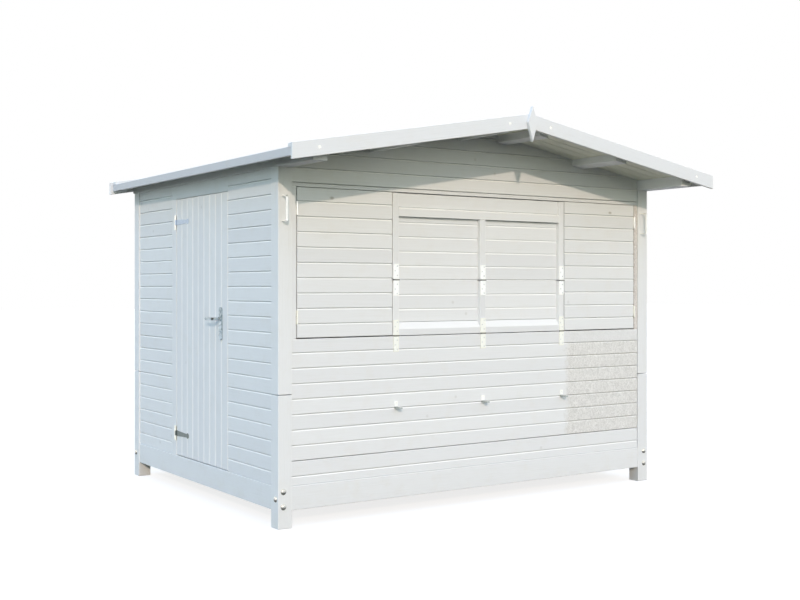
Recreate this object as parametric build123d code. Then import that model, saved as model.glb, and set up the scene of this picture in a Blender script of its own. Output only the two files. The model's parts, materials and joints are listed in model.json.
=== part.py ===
"""Wooden market hut: boarded walls on a post frame, a low gable roof, a side door and a serving hatch.

Millimetres. X runs along the serving front, Y to the back and Z up.
The origin is on the ground under the middle of the roof.
"""
from build123d import *
import math
import os

# Frame: four corner posts, each spliced once, on sill beams
FRONT_WIDTH = 3000.0
SIDE_DEPTH = 2300.0
POST_SIZE = 90.0
POST_HEIGHT = 2097.0
POST_SPLICE_HEIGHT = 775.0
SILL_CLEARANCE = 102.0
SILL_HEIGHT = 140.0
SILL_THICKNESS = 60.0
SILL_INSET = 4.0

# Floor
FLOOR_THICKNESS = 22.0
JOIST_WIDTH = 50.0
JOIST_HEIGHT = 100.0
JOIST_COUNT = 6

# Wall boarding, set a little behind the faces of the posts
CLADDING_THICKNESS = 28.0
CLADDING_INSET = 8.0

# Serving hatch in the front wall
HATCH_HEAD_DROP = 109.0
HATCH_HEAD_LIP = 21.0
HATCH_HEAD_DEPTH = 60.0
HATCH_HEAD_HEIGHT = 82.0
HATCH_JAMB_WIDTH = 32.0
HATCH_JAMB_DEPTH = 60.0
HATCH_RAIL_HEIGHT = 60.0
HATCH_RAIL_DEPTH = 60.0
LEAF_GAP = 7.0

# Counter flap: a lower leaf that folds down and an upper leaf that props it
FLAP_WIDTH = 1404.0
FLAP_THICKNESS = 38.0
COUNTER_LEAF_HEIGHT = 338.5
PROP_LEAF_HEIGHT = 532.5
STILE_WIDTH = 45.0
PANEL_RECESS = 14.0
BOTTOM_RAIL_HEIGHT = 34.0
BOTTOM_BEVEL_HEIGHT = 46.0
TOP_BOARD_HEIGHT = 90.0
TOP_RAIL_HEIGHT = 52.0

# Hooks on the lower wall that catch the end of the propping leaf
PROP_WALL_CLEARANCE = 10.0
HOOK_SEAT_CLEARANCE = 6.0
HOOK_WIDTH = 24.0
HOOK_PLATE_HEIGHT = 46.0
HOOK_PLATE_THICKNESS = 3.0
HOOK_ARM_THICKNESS = 6.0
HOOK_REACH = 55.0
HOOK_TIP_RISE = 7.0

# Shutters beside the flap
SHUTTER_THICKNESS = 28.0
SHUTTER_BATTEN_WIDTH = 70.0
SHUTTER_BATTEN_THICKNESS = 18.0
SHUTTER_BATTEN_EDGE = 90.0
SHUTTER_HINGE_EDGE = 120.0

# Hinges: a pin in front of the face, with a knuckle of one leaf between two of the other
HINGE_OFFSET = 7.0
HINGE_PLATE_THICKNESS = 3.0
KNUCKLE_RADIUS = 5.0
KNUCKLE_GAP = 0.4
KNUCKLE_CLEARANCE = 6.5
STRAP_HINGE_WIDTH = 40.0
STRAP_HINGE_LENGTH = 98.0
BUTT_HINGE_HEIGHT = 80.0
BUTT_HINGE_LEAF = 24.0
BUTT_HINGE_THICKNESS = 2.5

# Door in the left wall
DOOR_FROM_FRONT = 692.0
DOOR_OPENING_WIDTH = 830.0
DOOR_HEADER_HEIGHT = 94.0
DOOR_THICKNESS = 28.0
DOOR_JAMB_WIDTH = 75.0
DOOR_JAMB_DEPTH = 60.0
DOOR_LEDGE_WIDTH = 100.0
DOOR_LEDGE_THICKNESS = 20.0
DOOR_LEDGE_EDGE = 40.0
DOOR_HINGE_DROP = 152.0
DOOR_HINGE_RISE = 146.0
TEE_PLATE_HEIGHT = 100.0
TEE_PLATE_WIDTH = 34.0
TEE_STRAP_LENGTH = 212.0
TEE_STRAP_ROOT = 38.0
TEE_STRAP_END = 22.0
TEE_BULB_RADIUS = 18.0

# Lever handle of the door
LEVER_ABOVE_FLOOR = 956.0
LEVER_FROM_EDGE = 94.0
LEVER_REACH = 128.0
LEVER_PROJECTION = 56.0
LEVER_RADIUS = 9.0
LEVER_BEND_RADIUS = 22.0
HANDLE_PLATE_HEIGHT = 210.0
HANDLE_PLATE_WIDTH = 40.0
HANDLE_PLATE_THICKNESS = 8.0
HANDLE_PLATE_DROP = 30.0
LOCK_RADIUS = 9.0
LOCK_PROJECTION = 12.0
LOCK_DROP = 72.0

# Pull bars of bent flat steel on the front posts, both a little left of the middle of their post
PULL_HEIGHT = 150.0
PULL_DROP = 242.0
PULL_PROJECTION = 58.0
PULL_SHIFT = 17.0
PULL_BAR_WIDTH = 12.0
PULL_BAR_THICKNESS = 5.0
PULL_BEND_RADIUS = 9.0

# Roof
ROOF_PITCH_DEGREES = 9.95
EAVE_BEAM_HEIGHT = 57.0
EAVE_OVERHANG = 143.0
FRONT_OVERHANG = 470.0
REAR_OVERHANG = 90.0
DECK_THICKNESS = 20.0
FELT_THICKNESS = 4.0
VERGE_BATTEN_THICKNESS = 26.0
VERGE_BATTEN_WIDTH = 66.0
BARGEBOARD_WIDTH = 90.0
BARGEBOARD_THICKNESS = 20.0
BARGEBOARD_END = 18.0
FASCIA_HEIGHT = 45.0
FASCIA_THICKNESS = 18.0
PURLIN_HEIGHT = 45.0
PURLIN_SETBACK = 40.0
RIDGE_PURLIN_WIDTH = 70.0
RIDGE_PURLIN_FROM_RIDGE = 160.0
MID_PURLIN_WIDTH = 95.0
MID_PURLIN_FROM_RIDGE = 830.0
FINIAL_HEIGHT = 220.0
FINIAL_WIDTH = 75.0
FINIAL_THICKNESS = 22.0
FINIAL_DROP = 175.0
FINIAL_WAIST_SHARE = 0.545

# Places worked out from the sizes above
half_width = FRONT_WIDTH / 2
post_inner_x = half_width - POST_SIZE
roof_length = FRONT_OVERHANG + SIDE_DEPTH + REAR_OVERHANG
roof_front_y = -roof_length / 2
roof_rear_y = roof_length / 2
deck_front_y = roof_front_y + BARGEBOARD_THICKNESS
deck_rear_y = roof_rear_y - BARGEBOARD_THICKNESS
front_y = roof_front_y + FRONT_OVERHANG
rear_y = front_y + SIDE_DEPTH
post_inner_front_y = front_y + POST_SIZE
post_inner_rear_y = rear_y - POST_SIZE
sill_top = SILL_CLEARANCE + SILL_HEIGHT

front_face = front_y + CLADDING_INSET
front_back = front_face + CLADDING_THICKNESS
left_face = -half_width + CLADDING_INSET
left_back = left_face + CLADDING_THICKNESS

hatch_head_z = POST_HEIGHT - HATCH_HEAD_DROP
hatch_sill_z = hatch_head_z - COUNTER_LEAF_HEIGHT - PROP_LEAF_HEIGHT - 3 * LEAF_GAP
gable_z = hatch_head_z + HATCH_HEAD_LIP
hatch_half_width = post_inner_x - HATCH_JAMB_WIDTH
flap_half_width = FLAP_WIDTH / 2
flap_bottom = hatch_sill_z + LEAF_GAP
flap_top = hatch_head_z - LEAF_GAP
counter_top = flap_bottom + COUNTER_LEAF_HEIGHT
prop_bottom = flap_top - PROP_LEAF_HEIGHT
shutter_inner_x = flap_half_width + LEAF_GAP
shutter_outer_x = hatch_half_width - LEAF_GAP

hinge_line_y = front_face - HINGE_OFFSET
counter_hinge_z = hatch_sill_z + LEAF_GAP / 2
prop_hinge_z = counter_top + LEAF_GAP / 2
shutter_hinge_x = hatch_half_width - LEAF_GAP / 2
stile_centres = (-flap_half_width + STILE_WIDTH / 2, 0, flap_half_width - STILE_WIDTH / 2)

door_front_y = front_y + DOOR_FROM_FRONT
door_rear_y = door_front_y + DOOR_OPENING_WIDTH
door_hinge_x = left_face - HINGE_OFFSET
door_hinge_y = door_rear_y - LEAF_GAP / 2
door_head_z = POST_HEIGHT - DOOR_HEADER_HEIGHT
leaf_front_y = door_front_y + LEAF_GAP
leaf_rear_y = door_rear_y - LEAF_GAP
leaf_bottom = sill_top + LEAF_GAP
leaf_top = door_head_z - LEAF_GAP
upper_hinge_z = leaf_top - DOOR_HINGE_DROP
lower_hinge_z = leaf_bottom + DOOR_HINGE_RISE
lever_z = sill_top + LEVER_ABOVE_FLOOR
door_back = left_face + DOOR_THICKNESS

roof_half_width = half_width + EAVE_OVERHANG
roof_slope = math.tan(math.radians(ROOF_PITCH_DEGREES))
roof_cosine = math.cos(math.radians(ROOF_PITCH_DEGREES))
ridge_z = POST_HEIGHT + EAVE_BEAM_HEIGHT + half_width * roof_slope
felt_top = DECK_THICKNESS + FELT_THICKNESS
verge_top = felt_top + VERGE_BATTEN_THICKNESS


def block(x_limits, y_limits, z_limits):
    """A plain box between three pairs of limits."""
    limits = (x_limits, y_limits, z_limits)
    middle = [(low + high) / 2 for low, high in limits]
    size = [high - low for low, high in limits]
    return Pos(*middle) * Box(*size)


def along_x(outline, x_limits):
    """A prism along X whose outline is drawn in Y and Z."""
    start, end = x_limits
    sketch = Plane.YZ.offset(start) * Polygon(*outline, align=None)
    return extrude(sketch, amount=end - start, dir=(1, 0, 0))


def along_y(outline, y_limits):
    """A prism along Y whose outline is drawn in X and Z."""
    start, end = y_limits
    sketch = Plane.XZ.offset(-start) * Polygon(*outline, align=None)
    return extrude(sketch, amount=end - start, dir=(0, 1, 0))


def roof_line(x, lift):
    """Height over x of a layer of the roof that lies lift above the underside of the boarding."""
    return ridge_z - abs(x) * roof_slope + lift / roof_cosine


def slope_outline(side, inner, outer, low, high):
    """Outline of a roof layer on one slope, cut plumb at both ends."""
    return [
        (side * inner, roof_line(inner, low)),
        (side * outer, roof_line(outer, low)),
        (side * outer, roof_line(outer, high)),
        (side * inner, roof_line(inner, high)),
    ]


def mirrored(shape):
    """The same piece on the other side of the hut's middle."""
    return mirror(shape, about=Plane.YZ)


def both_sides(shape):
    """A piece and its mirror image."""
    return [shape, mirrored(shape)]


# Posts, sills and floor

def post_lengths(z_limits):
    """One length of each of the four corner posts."""
    left = (-half_width, -post_inner_x)
    front = block(left, (front_y, post_inner_front_y), z_limits)
    rear = block(left, (post_inner_rear_y, rear_y), z_limits)
    return both_sides(front) + both_sides(rear)


def end_sill(y_limits):
    """A sill beam between two posts, along the front or the rear."""
    return block((-post_inner_x, post_inner_x), y_limits, (SILL_CLEARANCE, sill_top))


def side_sills():
    """The two sill beams under the side walls."""
    outer = half_width - SILL_INSET
    span = (post_inner_front_y, post_inner_rear_y)
    right = block((outer - SILL_THICKNESS, outer), span, (SILL_CLEARANCE, sill_top))
    return both_sides(right)


front_sill_y = (front_y + SILL_INSET, front_y + SILL_INSET + SILL_THICKNESS)
rear_sill_y = (rear_y - SILL_INSET - SILL_THICKNESS, rear_y - SILL_INSET)
floor_half_width = half_width - SILL_INSET - SILL_THICKNESS
floor_y = (front_sill_y[1], rear_sill_y[0])
floor_bottom = sill_top - FLOOR_THICKNESS


def floor_deck():
    """Floor boarding, notched round the posts."""
    deck = block((-floor_half_width, floor_half_width), floor_y, (floor_bottom, sill_top))
    for post in post_lengths((0, POST_HEIGHT)):
        deck -= post
    return deck


def floor_joists():
    """Joists from the front sill to the rear sill, under the floor boarding."""
    spacing = (2 * floor_half_width - JOIST_WIDTH) / (JOIST_COUNT + 1)
    first = -floor_half_width + JOIST_WIDTH / 2 + spacing
    joists = []
    for index in range(JOIST_COUNT):
        middle = first + index * spacing
        width = (middle - JOIST_WIDTH / 2, middle + JOIST_WIDTH / 2)
        joists.append(block(width, floor_y, (floor_bottom - JOIST_HEIGHT, floor_bottom)))
    return joists


# Roof timbers

def purlins(middle, width):
    """A pair of timbers laid flat under the roof boarding, short of the bargeboards."""
    outline = slope_outline(1, middle - width / 2, middle + width / 2, -PURLIN_HEIGHT, 0)
    return both_sides(along_y(outline, timber_y))


timber_y = (deck_front_y + PURLIN_SETBACK, deck_rear_y - PURLIN_SETBACK)
ridge_purlins = purlins(RIDGE_PURLIN_FROM_RIDGE, RIDGE_PURLIN_WIDTH)
mid_purlins = purlins(MID_PURLIN_FROM_RIDGE, MID_PURLIN_WIDTH)


def eave_beams():
    """Beams on top of the posts and side walls, running out under both ends of the roof."""
    outline = [
        (post_inner_x, POST_HEIGHT),
        (half_width, POST_HEIGHT),
        (half_width, roof_line(half_width, 0)),
        (post_inner_x, roof_line(post_inner_x, 0)),
    ]
    return both_sides(along_y(outline, timber_y))


# Walls

def gable_wall(bottom, y_limits):
    """Boarding between the posts from a given height up to the roof, notched for the purlins."""
    outline = [
        (-post_inner_x, bottom),
        (post_inner_x, bottom),
        (post_inner_x, roof_line(post_inner_x, 0)),
        (0, ridge_z),
        (-post_inner_x, roof_line(post_inner_x, 0)),
    ]
    wall = along_y(outline, y_limits)
    for purlin in ridge_purlins + mid_purlins:
        wall -= purlin
    return wall


def left_wall(y_limits, bottom):
    """A length of the left wall's boarding, up to the eave beam."""
    return block((left_face, left_back), y_limits, (bottom, POST_HEIGHT))


def hatch_head():
    """Beam over the hatch, with a lip that shows under the gable boarding."""
    back = front_back + HATCH_HEAD_DEPTH
    outline = [
        (front_face, hatch_head_z),
        (back, hatch_head_z),
        (back, hatch_head_z + HATCH_HEAD_HEIGHT),
        (front_back, hatch_head_z + HATCH_HEAD_HEIGHT),
        (front_back, gable_z),
        (front_face, gable_z),
    ]
    return along_x(outline, (-post_inner_x, post_inner_x))


def hatch_jambs():
    """Strips beside the posts that carry the shutters."""
    depth = (front_face, front_face + HATCH_JAMB_DEPTH)
    right = block((hatch_half_width, post_inner_x), depth, (hatch_sill_z, hatch_head_z))
    return both_sides(right)


def hatch_rail():
    """Rail behind the top of the lower front wall."""
    depth = (front_back, front_back + HATCH_RAIL_DEPTH)
    height = (hatch_sill_z - HATCH_RAIL_HEIGHT, hatch_sill_z)
    return block((-post_inner_x, post_inner_x), depth, height)


def door_jambs():
    """Posts on both sides of the door: behind the boards at the lock, flush with them at the hinges."""
    inner = left_face + DOOR_JAMB_DEPTH
    height = (sill_top, POST_HEIGHT)
    front = block((left_back, inner), (door_front_y - DOOR_JAMB_WIDTH, door_front_y), height)
    rear = block((left_face, inner), (door_rear_y, door_rear_y + DOOR_JAMB_WIDTH), height)
    return [front, rear]


# Roof covering and trim

def roof_deck(side):
    """Roof boarding of one slope, from the ridge to the back of the fascia."""
    outline = slope_outline(side, 0, roof_half_width - FASCIA_THICKNESS, 0, DECK_THICKNESS)
    return along_y(outline, (deck_front_y, deck_rear_y))


def roof_felt():
    """Felt over the ridge and down both slopes, out to the fascia's face."""
    edge = roof_half_width
    outline = [
        (-edge, roof_line(edge, DECK_THICKNESS)),
        (0, roof_line(0, DECK_THICKNESS)),
        (edge, roof_line(edge, DECK_THICKNESS)),
        (edge, roof_line(edge, felt_top)),
        (0, roof_line(0, felt_top)),
        (-edge, roof_line(edge, felt_top)),
    ]
    return along_y(outline, (deck_front_y, deck_rear_y))


def verge_battens(side):
    """Battens on the felt behind the front and rear bargeboards of one slope."""
    outline = slope_outline(side, 0, roof_half_width, felt_top, verge_top)
    front = along_y(outline, (deck_front_y, deck_front_y + VERGE_BATTEN_WIDTH))
    rear = along_y(outline, (deck_rear_y - VERGE_BATTEN_WIDTH, deck_rear_y))
    return [front, rear]


def bargeboards(side):
    """Front and rear bargeboards of one slope, flush with the top of the verge battens."""
    low = verge_top - BARGEBOARD_WIDTH
    outline = slope_outline(side, 0, roof_half_width + BARGEBOARD_END, low, verge_top)
    front = along_y(outline, (roof_front_y, deck_front_y))
    rear = along_y(outline, (deck_rear_y, roof_rear_y))
    return [front, rear]


def eave_fascias():
    """Narrow boards along the eaves, between the bargeboards and under the felt."""
    inner = roof_half_width - FASCIA_THICKNESS
    bottom = roof_line(roof_half_width, DECK_THICKNESS) - FASCIA_HEIGHT
    outline = [
        (inner, bottom),
        (roof_half_width, bottom),
        (roof_half_width, roof_line(roof_half_width, DECK_THICKNESS)),
        (inner, roof_line(inner, DECK_THICKNESS)),
    ]
    return both_sides(along_y(outline, (deck_front_y, deck_rear_y)))


def finials():
    """Diamond plates over the joint of the bargeboards, at the front and the rear."""
    bottom = roof_line(0, verge_top) - FINIAL_DROP
    waist = bottom + FINIAL_WAIST_SHARE * FINIAL_HEIGHT
    half = FINIAL_WIDTH / 2
    outline = [(0, bottom), (half, waist), (0, bottom + FINIAL_HEIGHT), (-half, waist)]
    front = along_y(outline, (roof_front_y - FINIAL_THICKNESS, roof_front_y))
    rear = along_y(outline, (roof_rear_y, roof_rear_y + FINIAL_THICKNESS))
    return [front, rear]


# Hinges, drawn with the pin along X, the plate towards +Y and the face looking along +Z

def hinge_place(pin, toward, outward):
    """Plane of a hinge leaf: its pin, the way its plate points and the way its face looks."""
    return Plane(origin=pin, x_dir=Vector(toward).cross(Vector(outward)), z_dir=outward)


def knuckle_spans(height, carries_middle):
    """Limits along the pin of a leaf's knuckles: the middle one, or the two end ones."""
    third = height / 3
    if carries_middle:
        return [(-third / 2 + KNUCKLE_GAP / 2, third / 2 - KNUCKLE_GAP / 2)]
    return [(-height / 2, -third / 2 - KNUCKLE_GAP / 2), (third / 2 + KNUCKLE_GAP / 2, height / 2)]


def hinge_leaf(plate, height, carries_middle):
    """A hinge leaf: a flat plate on the face of the wood and its knuckles."""
    leaf = extrude(Plane.XY.offset(-HINGE_OFFSET) * plate, amount=HINGE_PLATE_THICKNESS, dir=(0, 0, 1))
    plate_levels = (-HINGE_OFFSET, -HINGE_OFFSET + HINGE_PLATE_THICKNESS)
    for start, end in knuckle_spans(height, carries_middle):
        knuckle = Cylinder(KNUCKLE_RADIUS, end - start)
        leaf += Pos((start + end) / 2, 0, 0) * Rot(0, 90, 0) * knuckle
        leaf += block((start, end), (0, KNUCKLE_CLEARANCE), plate_levels)
    return leaf


def plain_plate(width, length):
    """Outline of a rectangular hinge plate."""
    plate = Rectangle(width, length - KNUCKLE_CLEARANCE, align=(Align.CENTER, Align.MIN))
    return Pos(0, KNUCKLE_CLEARANCE) * plate


def tee_strap():
    """Outline of the door's tapering strap with its round end."""
    bulb = TEE_STRAP_LENGTH - TEE_BULB_RADIUS
    root = TEE_STRAP_ROOT / 2
    end = TEE_STRAP_END / 2
    taper = Polygon(
        (-root, KNUCKLE_CLEARANCE),
        (root, KNUCKLE_CLEARANCE),
        (end, bulb),
        (-end, bulb),
        align=None,
    )
    return taper + Pos(0, bulb) * Circle(TEE_BULB_RADIUS)


def strap_hinges(height, toward, carries_middle):
    """Three hinge leaves on the stiles of the flap, at one height."""
    plate = plain_plate(STRAP_HINGE_WIDTH, STRAP_HINGE_LENGTH)
    leaf = hinge_leaf(plate, STRAP_HINGE_WIDTH, carries_middle)
    return [hinge_place((x, hinge_line_y, height), toward, (0, -1, 0)) * leaf for x in stile_centres]


def butt_hinges(x_limits, carries_middle):
    """Two hinge leaves of the right shutter, let into the gap on its edge or on the jamb's edge."""
    half = BUTT_HINGE_HEIGHT / 2
    leaf = block(x_limits, (front_face, front_face + BUTT_HINGE_LEAF), (-half, half))
    for start, end in knuckle_spans(BUTT_HINGE_HEIGHT, carries_middle):
        knuckle = Cylinder(KNUCKLE_RADIUS, end - start)
        leaf += Pos(shutter_hinge_x, hinge_line_y, (start + end) / 2) * knuckle
        leaf += block(x_limits, (hinge_line_y, front_face), (start, end))
    heights = (flap_bottom + SHUTTER_HINGE_EDGE, flap_top - SHUTTER_HINGE_EDGE)
    return [Pos(0, 0, z) * leaf for z in heights]


def tee_hinges(plate, toward, carries_middle):
    """Two hinge leaves on the door or on the jamb behind it."""
    leaf = hinge_leaf(plate, TEE_PLATE_HEIGHT, carries_middle)
    heights = (lower_hinge_z, upper_hinge_z)
    return [hinge_place((door_hinge_x, door_hinge_y, z), toward, (-1, 0, 0)) * leaf for z in heights]


# Serving hatch

def shutter():
    """The right shutter: boarding with two battens on its inner face."""
    height = (flap_bottom, flap_top)
    back = front_face + SHUTTER_THICKNESS
    leaf = block((shutter_inner_x, shutter_outer_x), (front_face, back), height)
    batten_x = (shutter_inner_x + SHUTTER_BATTEN_EDGE, shutter_outer_x - SHUTTER_BATTEN_EDGE)
    batten_y = (back, back + SHUTTER_BATTEN_THICKNESS)
    half = SHUTTER_BATTEN_WIDTH / 2
    for middle in (flap_bottom + SHUTTER_HINGE_EDGE, flap_top - SHUTTER_HINGE_EDGE):
        leaf += block(batten_x, batten_y, (middle - half, middle + half))
    return leaf


def stile(middle, z_limits):
    """An upright of the flap's frame."""
    half = STILE_WIDTH / 2
    return block((middle - half, middle + half), flap_depth, z_limits)


flap_depth = (front_face, front_face + FLAP_THICKNESS)
panel_depth = (front_face + PANEL_RECESS, front_face + FLAP_THICKNESS)
flap_inner_x = flap_half_width - STILE_WIDTH
panel_bottom = flap_bottom + BOTTOM_RAIL_HEIGHT + BOTTOM_BEVEL_HEIGHT
top_rail_top = flap_top - TOP_BOARD_HEIGHT
top_rail_bottom = top_rail_top - TOP_RAIL_HEIGHT


def counter_frame():
    """Frame of the lower leaf: three stiles on a bottom rail with a sloping upper edge."""
    outline = [
        (flap_depth[0], flap_bottom),
        (flap_depth[1], flap_bottom),
        (flap_depth[1], panel_bottom),
        (panel_depth[0], panel_bottom),
        (flap_depth[0], flap_bottom + BOTTOM_RAIL_HEIGHT),
    ]
    frame = along_x(outline, (-flap_inner_x, flap_inner_x))
    for middle in stile_centres:
        frame += stile(middle, (flap_bottom, counter_top))
    return frame


def prop_frame():
    """Frame of the upper leaf: side stiles, a rail under its top board and a middle stile."""
    left, middle, right = stile_centres
    frame = block((-flap_inner_x, flap_inner_x), flap_depth, (top_rail_bottom, top_rail_top))
    frame += stile(middle, (prop_bottom, top_rail_bottom))
    for side in (left, right):
        frame += stile(side, (prop_bottom, flap_top))
    return frame


def flap_panels(z_limits):
    """The recessed fields on both sides of the middle stile."""
    return both_sides(block((STILE_WIDTH / 2, flap_inner_x), panel_depth, z_limits))


def prop_panels():
    """The two fields of the upper leaf and the board over its rail."""
    top_board = block((-flap_inner_x, flap_inner_x), panel_depth, (top_rail_top, flap_top))
    return flap_panels((prop_bottom, top_rail_bottom)) + [top_board]


def hook_seat():
    """Height of the hooks' arms, just under the propping leaf's end when it is folded right in."""
    counter_reach = prop_hinge_z - counter_hinge_z
    prop_reach = flap_top - prop_hinge_z
    run = counter_reach + HINGE_OFFSET - PROP_WALL_CLEARANCE
    lean = math.acos(run / math.hypot(prop_reach, HINGE_OFFSET)) - math.atan2(HINGE_OFFSET, prop_reach)
    drop = prop_reach * math.sin(lean) + (HINGE_OFFSET + FLAP_THICKNESS) * math.cos(lean)
    return counter_hinge_z - drop - HOOK_SEAT_CLEARANCE


def counter_hooks():
    """Hooks on the lower wall, in line with the stiles."""
    seat = hook_seat()
    bottom = seat - HOOK_ARM_THICKNESS
    plate_y = front_face - HOOK_PLATE_THICKNESS
    end_y = front_face - HOOK_REACH
    outline = [
        (front_face, bottom),
        (front_face, bottom + HOOK_PLATE_HEIGHT),
        (plate_y, bottom + HOOK_PLATE_HEIGHT),
        (plate_y, seat),
        (end_y + HOOK_ARM_THICKNESS, seat),
        (end_y + HOOK_ARM_THICKNESS, seat + HOOK_TIP_RISE),
        (end_y, seat + HOOK_TIP_RISE),
        (end_y, bottom),
    ]
    half = HOOK_WIDTH / 2
    return [along_x(outline, (x - half, x + half)) for x in stile_centres]


# Door

def door_leaf():
    """The door's boarding, flush with the wall."""
    return block((left_face, door_back), (leaf_front_y, leaf_rear_y), (leaf_bottom, leaf_top))


ledge_depth = (door_back, door_back + DOOR_LEDGE_THICKNESS)
ledge_span = (leaf_front_y + DOOR_LEDGE_EDGE, leaf_rear_y - DOOR_LEDGE_EDGE)


def door_ledges():
    """Two boards across the inside of the door, behind its hinges."""
    half = DOOR_LEDGE_WIDTH / 2
    heights = (lower_hinge_z, upper_hinge_z)
    return [block(ledge_depth, ledge_span, (z - half, z + half)) for z in heights]


def door_diagonal():
    """Board from the lower hinge up to the free side, between the two ledges."""
    low = lower_hinge_z + DOOR_LEDGE_WIDTH / 2
    high = upper_hinge_z - DOOR_LEDGE_WIDTH / 2
    front, rear = ledge_span
    outline = [
        (rear, low),
        (front + DOOR_LEDGE_WIDTH, high),
        (front, high),
        (rear - DOOR_LEDGE_WIDTH, low),
    ]
    return along_x(outline, ledge_depth)


def lever_set(lever_way):
    """A lever on a long plate with a lock under it, drawn upright with its face towards +Z."""
    plate = SlotOverall(HANDLE_PLATE_HEIGHT, HANDLE_PLATE_WIDTH, rotation=90)
    handle = extrude(Pos(0, -HANDLE_PLATE_DROP) * plate, amount=HANDLE_PLATE_THICKNESS)
    path = FilletPolyline(
        (0, 0, 0),
        (0, 0, LEVER_PROJECTION),
        (lever_way * LEVER_REACH, 0, LEVER_PROJECTION),
        radius=LEVER_BEND_RADIUS,
    )
    handle += sweep(Circle(LEVER_RADIUS), path=path)
    lock = Cylinder(LOCK_RADIUS, LOCK_PROJECTION, align=(Align.CENTER, Align.CENTER, Align.MIN))
    handle += Pos(0, -LOCK_DROP, 0) * lock
    return handle


def door_handle():
    """Lever sets on the outer and inner faces of the door, pointing to its hinges."""
    y = leaf_front_y + LEVER_FROM_EDGE
    outer = Plane(origin=(left_face, y, lever_z), x_dir=(0, -1, 0), z_dir=(-1, 0, 0))
    inner = Plane(origin=(door_back, y, lever_z), x_dir=(0, 1, 0), z_dir=(1, 0, 0))
    return [outer * lever_set(-1), inner * lever_set(1)]


def post_pulls():
    """Upright pull bars on the front faces of the two front posts."""
    reach = (PULL_HEIGHT - PULL_BAR_THICKNESS) / 2
    out = PULL_PROJECTION - PULL_BAR_THICKNESS / 2
    path = FilletPolyline(
        (0, -reach, 0),
        (0, -reach, out),
        (0, reach, out),
        (0, reach, 0),
        radius=PULL_BEND_RADIUS,
    )
    section = Plane(origin=(0, -reach, 0), z_dir=(0, 0, 1)) * Rectangle(PULL_BAR_WIDTH, PULL_BAR_THICKNESS)
    bar = sweep(section, path=path)
    post_middle = half_width - POST_SIZE / 2
    pulls = []
    for middle in (-post_middle, post_middle):
        foot = (middle - PULL_SHIFT, front_y, POST_HEIGHT - PULL_DROP)
        pulls.append(Plane(origin=foot, x_dir=(1, 0, 0), z_dir=(0, -1, 0)) * bar)
    return pulls


# Every node of the hut and the solids in it

front_wall_span = (-post_inner_x, post_inner_x)
side_wall_span = (post_inner_front_y, post_inner_rear_y)
rear_wall_y = (rear_y - CLADDING_INSET - CLADDING_THICKNESS, rear_y - CLADDING_INSET)
full_plate = plain_plate(TEE_PLATE_HEIGHT, TEE_PLATE_WIDTH)
right_shutter = shutter()
up = (0, 0, 1)
down = (0, 0, -1)
to_front = (0, -1, 0)
to_rear = (0, 1, 0)

hatch_hinge_plates = strap_hinges(counter_hinge_z, down, False)
for hinge in butt_hinges((hatch_half_width - BUTT_HINGE_THICKNESS, hatch_half_width), False):
    hatch_hinge_plates += both_sides(hinge)
right_shutter_hinges = butt_hinges((shutter_outer_x, shutter_outer_x + BUTT_HINGE_THICKNESS), True)

nodes = {
    "lower_posts": post_lengths((0, POST_SPLICE_HEIGHT)),
    "upper_posts": post_lengths((POST_SPLICE_HEIGHT, POST_HEIGHT)),
    "front_sill": [end_sill(front_sill_y)],
    "rear_sill": [end_sill(rear_sill_y)],
    "side_sills": side_sills(),
    "floor_joists": floor_joists(),
    "floor_deck": [floor_deck()],
    "front_lower_wall": [
        block(front_wall_span, (front_face, front_back), (sill_top, hatch_sill_z)),
    ],
    "hatch_rail": [hatch_rail()],
    "hatch_jambs": hatch_jambs(),
    "hatch_head": [hatch_head()],
    "front_gable": [gable_wall(gable_z, (front_face, front_back))],
    "rear_wall": [gable_wall(sill_top, rear_wall_y)],
    "right_wall": [mirrored(left_wall(side_wall_span, sill_top))],
    "left_wall_front": [left_wall((post_inner_front_y, door_front_y), sill_top)],
    "left_wall_rear": [left_wall((door_rear_y + DOOR_JAMB_WIDTH, post_inner_rear_y), sill_top)],
    "left_wall_header": [left_wall((door_front_y, door_rear_y), door_head_z)],
    "door_jambs": door_jambs(),
    "eave_beams": eave_beams(),
    "mid_purlins": mid_purlins,
    "ridge_purlin": ridge_purlins,
    "left_roof_deck": [roof_deck(-1)],
    "right_roof_deck": [roof_deck(1)],
    "roof_felt": [roof_felt()],
    "left_verge_battens": verge_battens(-1),
    "right_verge_battens": verge_battens(1),
    "left_bargeboards": bargeboards(-1),
    "right_bargeboards": bargeboards(1),
    "eave_fascias": eave_fascias(),
    "finials": finials(),
    "door_hinge_plates": tee_hinges(full_plate, to_rear, False),
    "hatch_hinge_plates": hatch_hinge_plates,
    "counter_hooks": counter_hooks(),
    "post_pulls": post_pulls(),
    "door_leaf": [door_leaf()],
    "door_ledges": door_ledges(),
    "door_diagonal": [door_diagonal()],
    "door_hinge_straps": tee_hinges(tee_strap(), to_front, True),
    "door_handle": door_handle(),
    "left_shutter": [mirrored(right_shutter)],
    "left_shutter_hinges": [mirrored(hinge) for hinge in right_shutter_hinges],
    "right_shutter": [right_shutter],
    "right_shutter_hinges": right_shutter_hinges,
    "counter_frame": [counter_frame()],
    "counter_panels": flap_panels((panel_bottom, counter_top)),
    "counter_hinges": strap_hinges(counter_hinge_z, up, True) + strap_hinges(prop_hinge_z, down, False),
    "prop_frame": [prop_frame()],
    "prop_panels": prop_panels(),
    "prop_hinges": strap_hinges(prop_hinge_z, up, True),
}

os.makedirs("parts", exist_ok=True)
for name, shapes in nodes.items():
    solids = [solid for shape in shapes for solid in shape.solids()]
    piece = solids[0] if len(solids) == 1 else Compound(solids)
    export_step(piece, f"parts/{name}.step")
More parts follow.
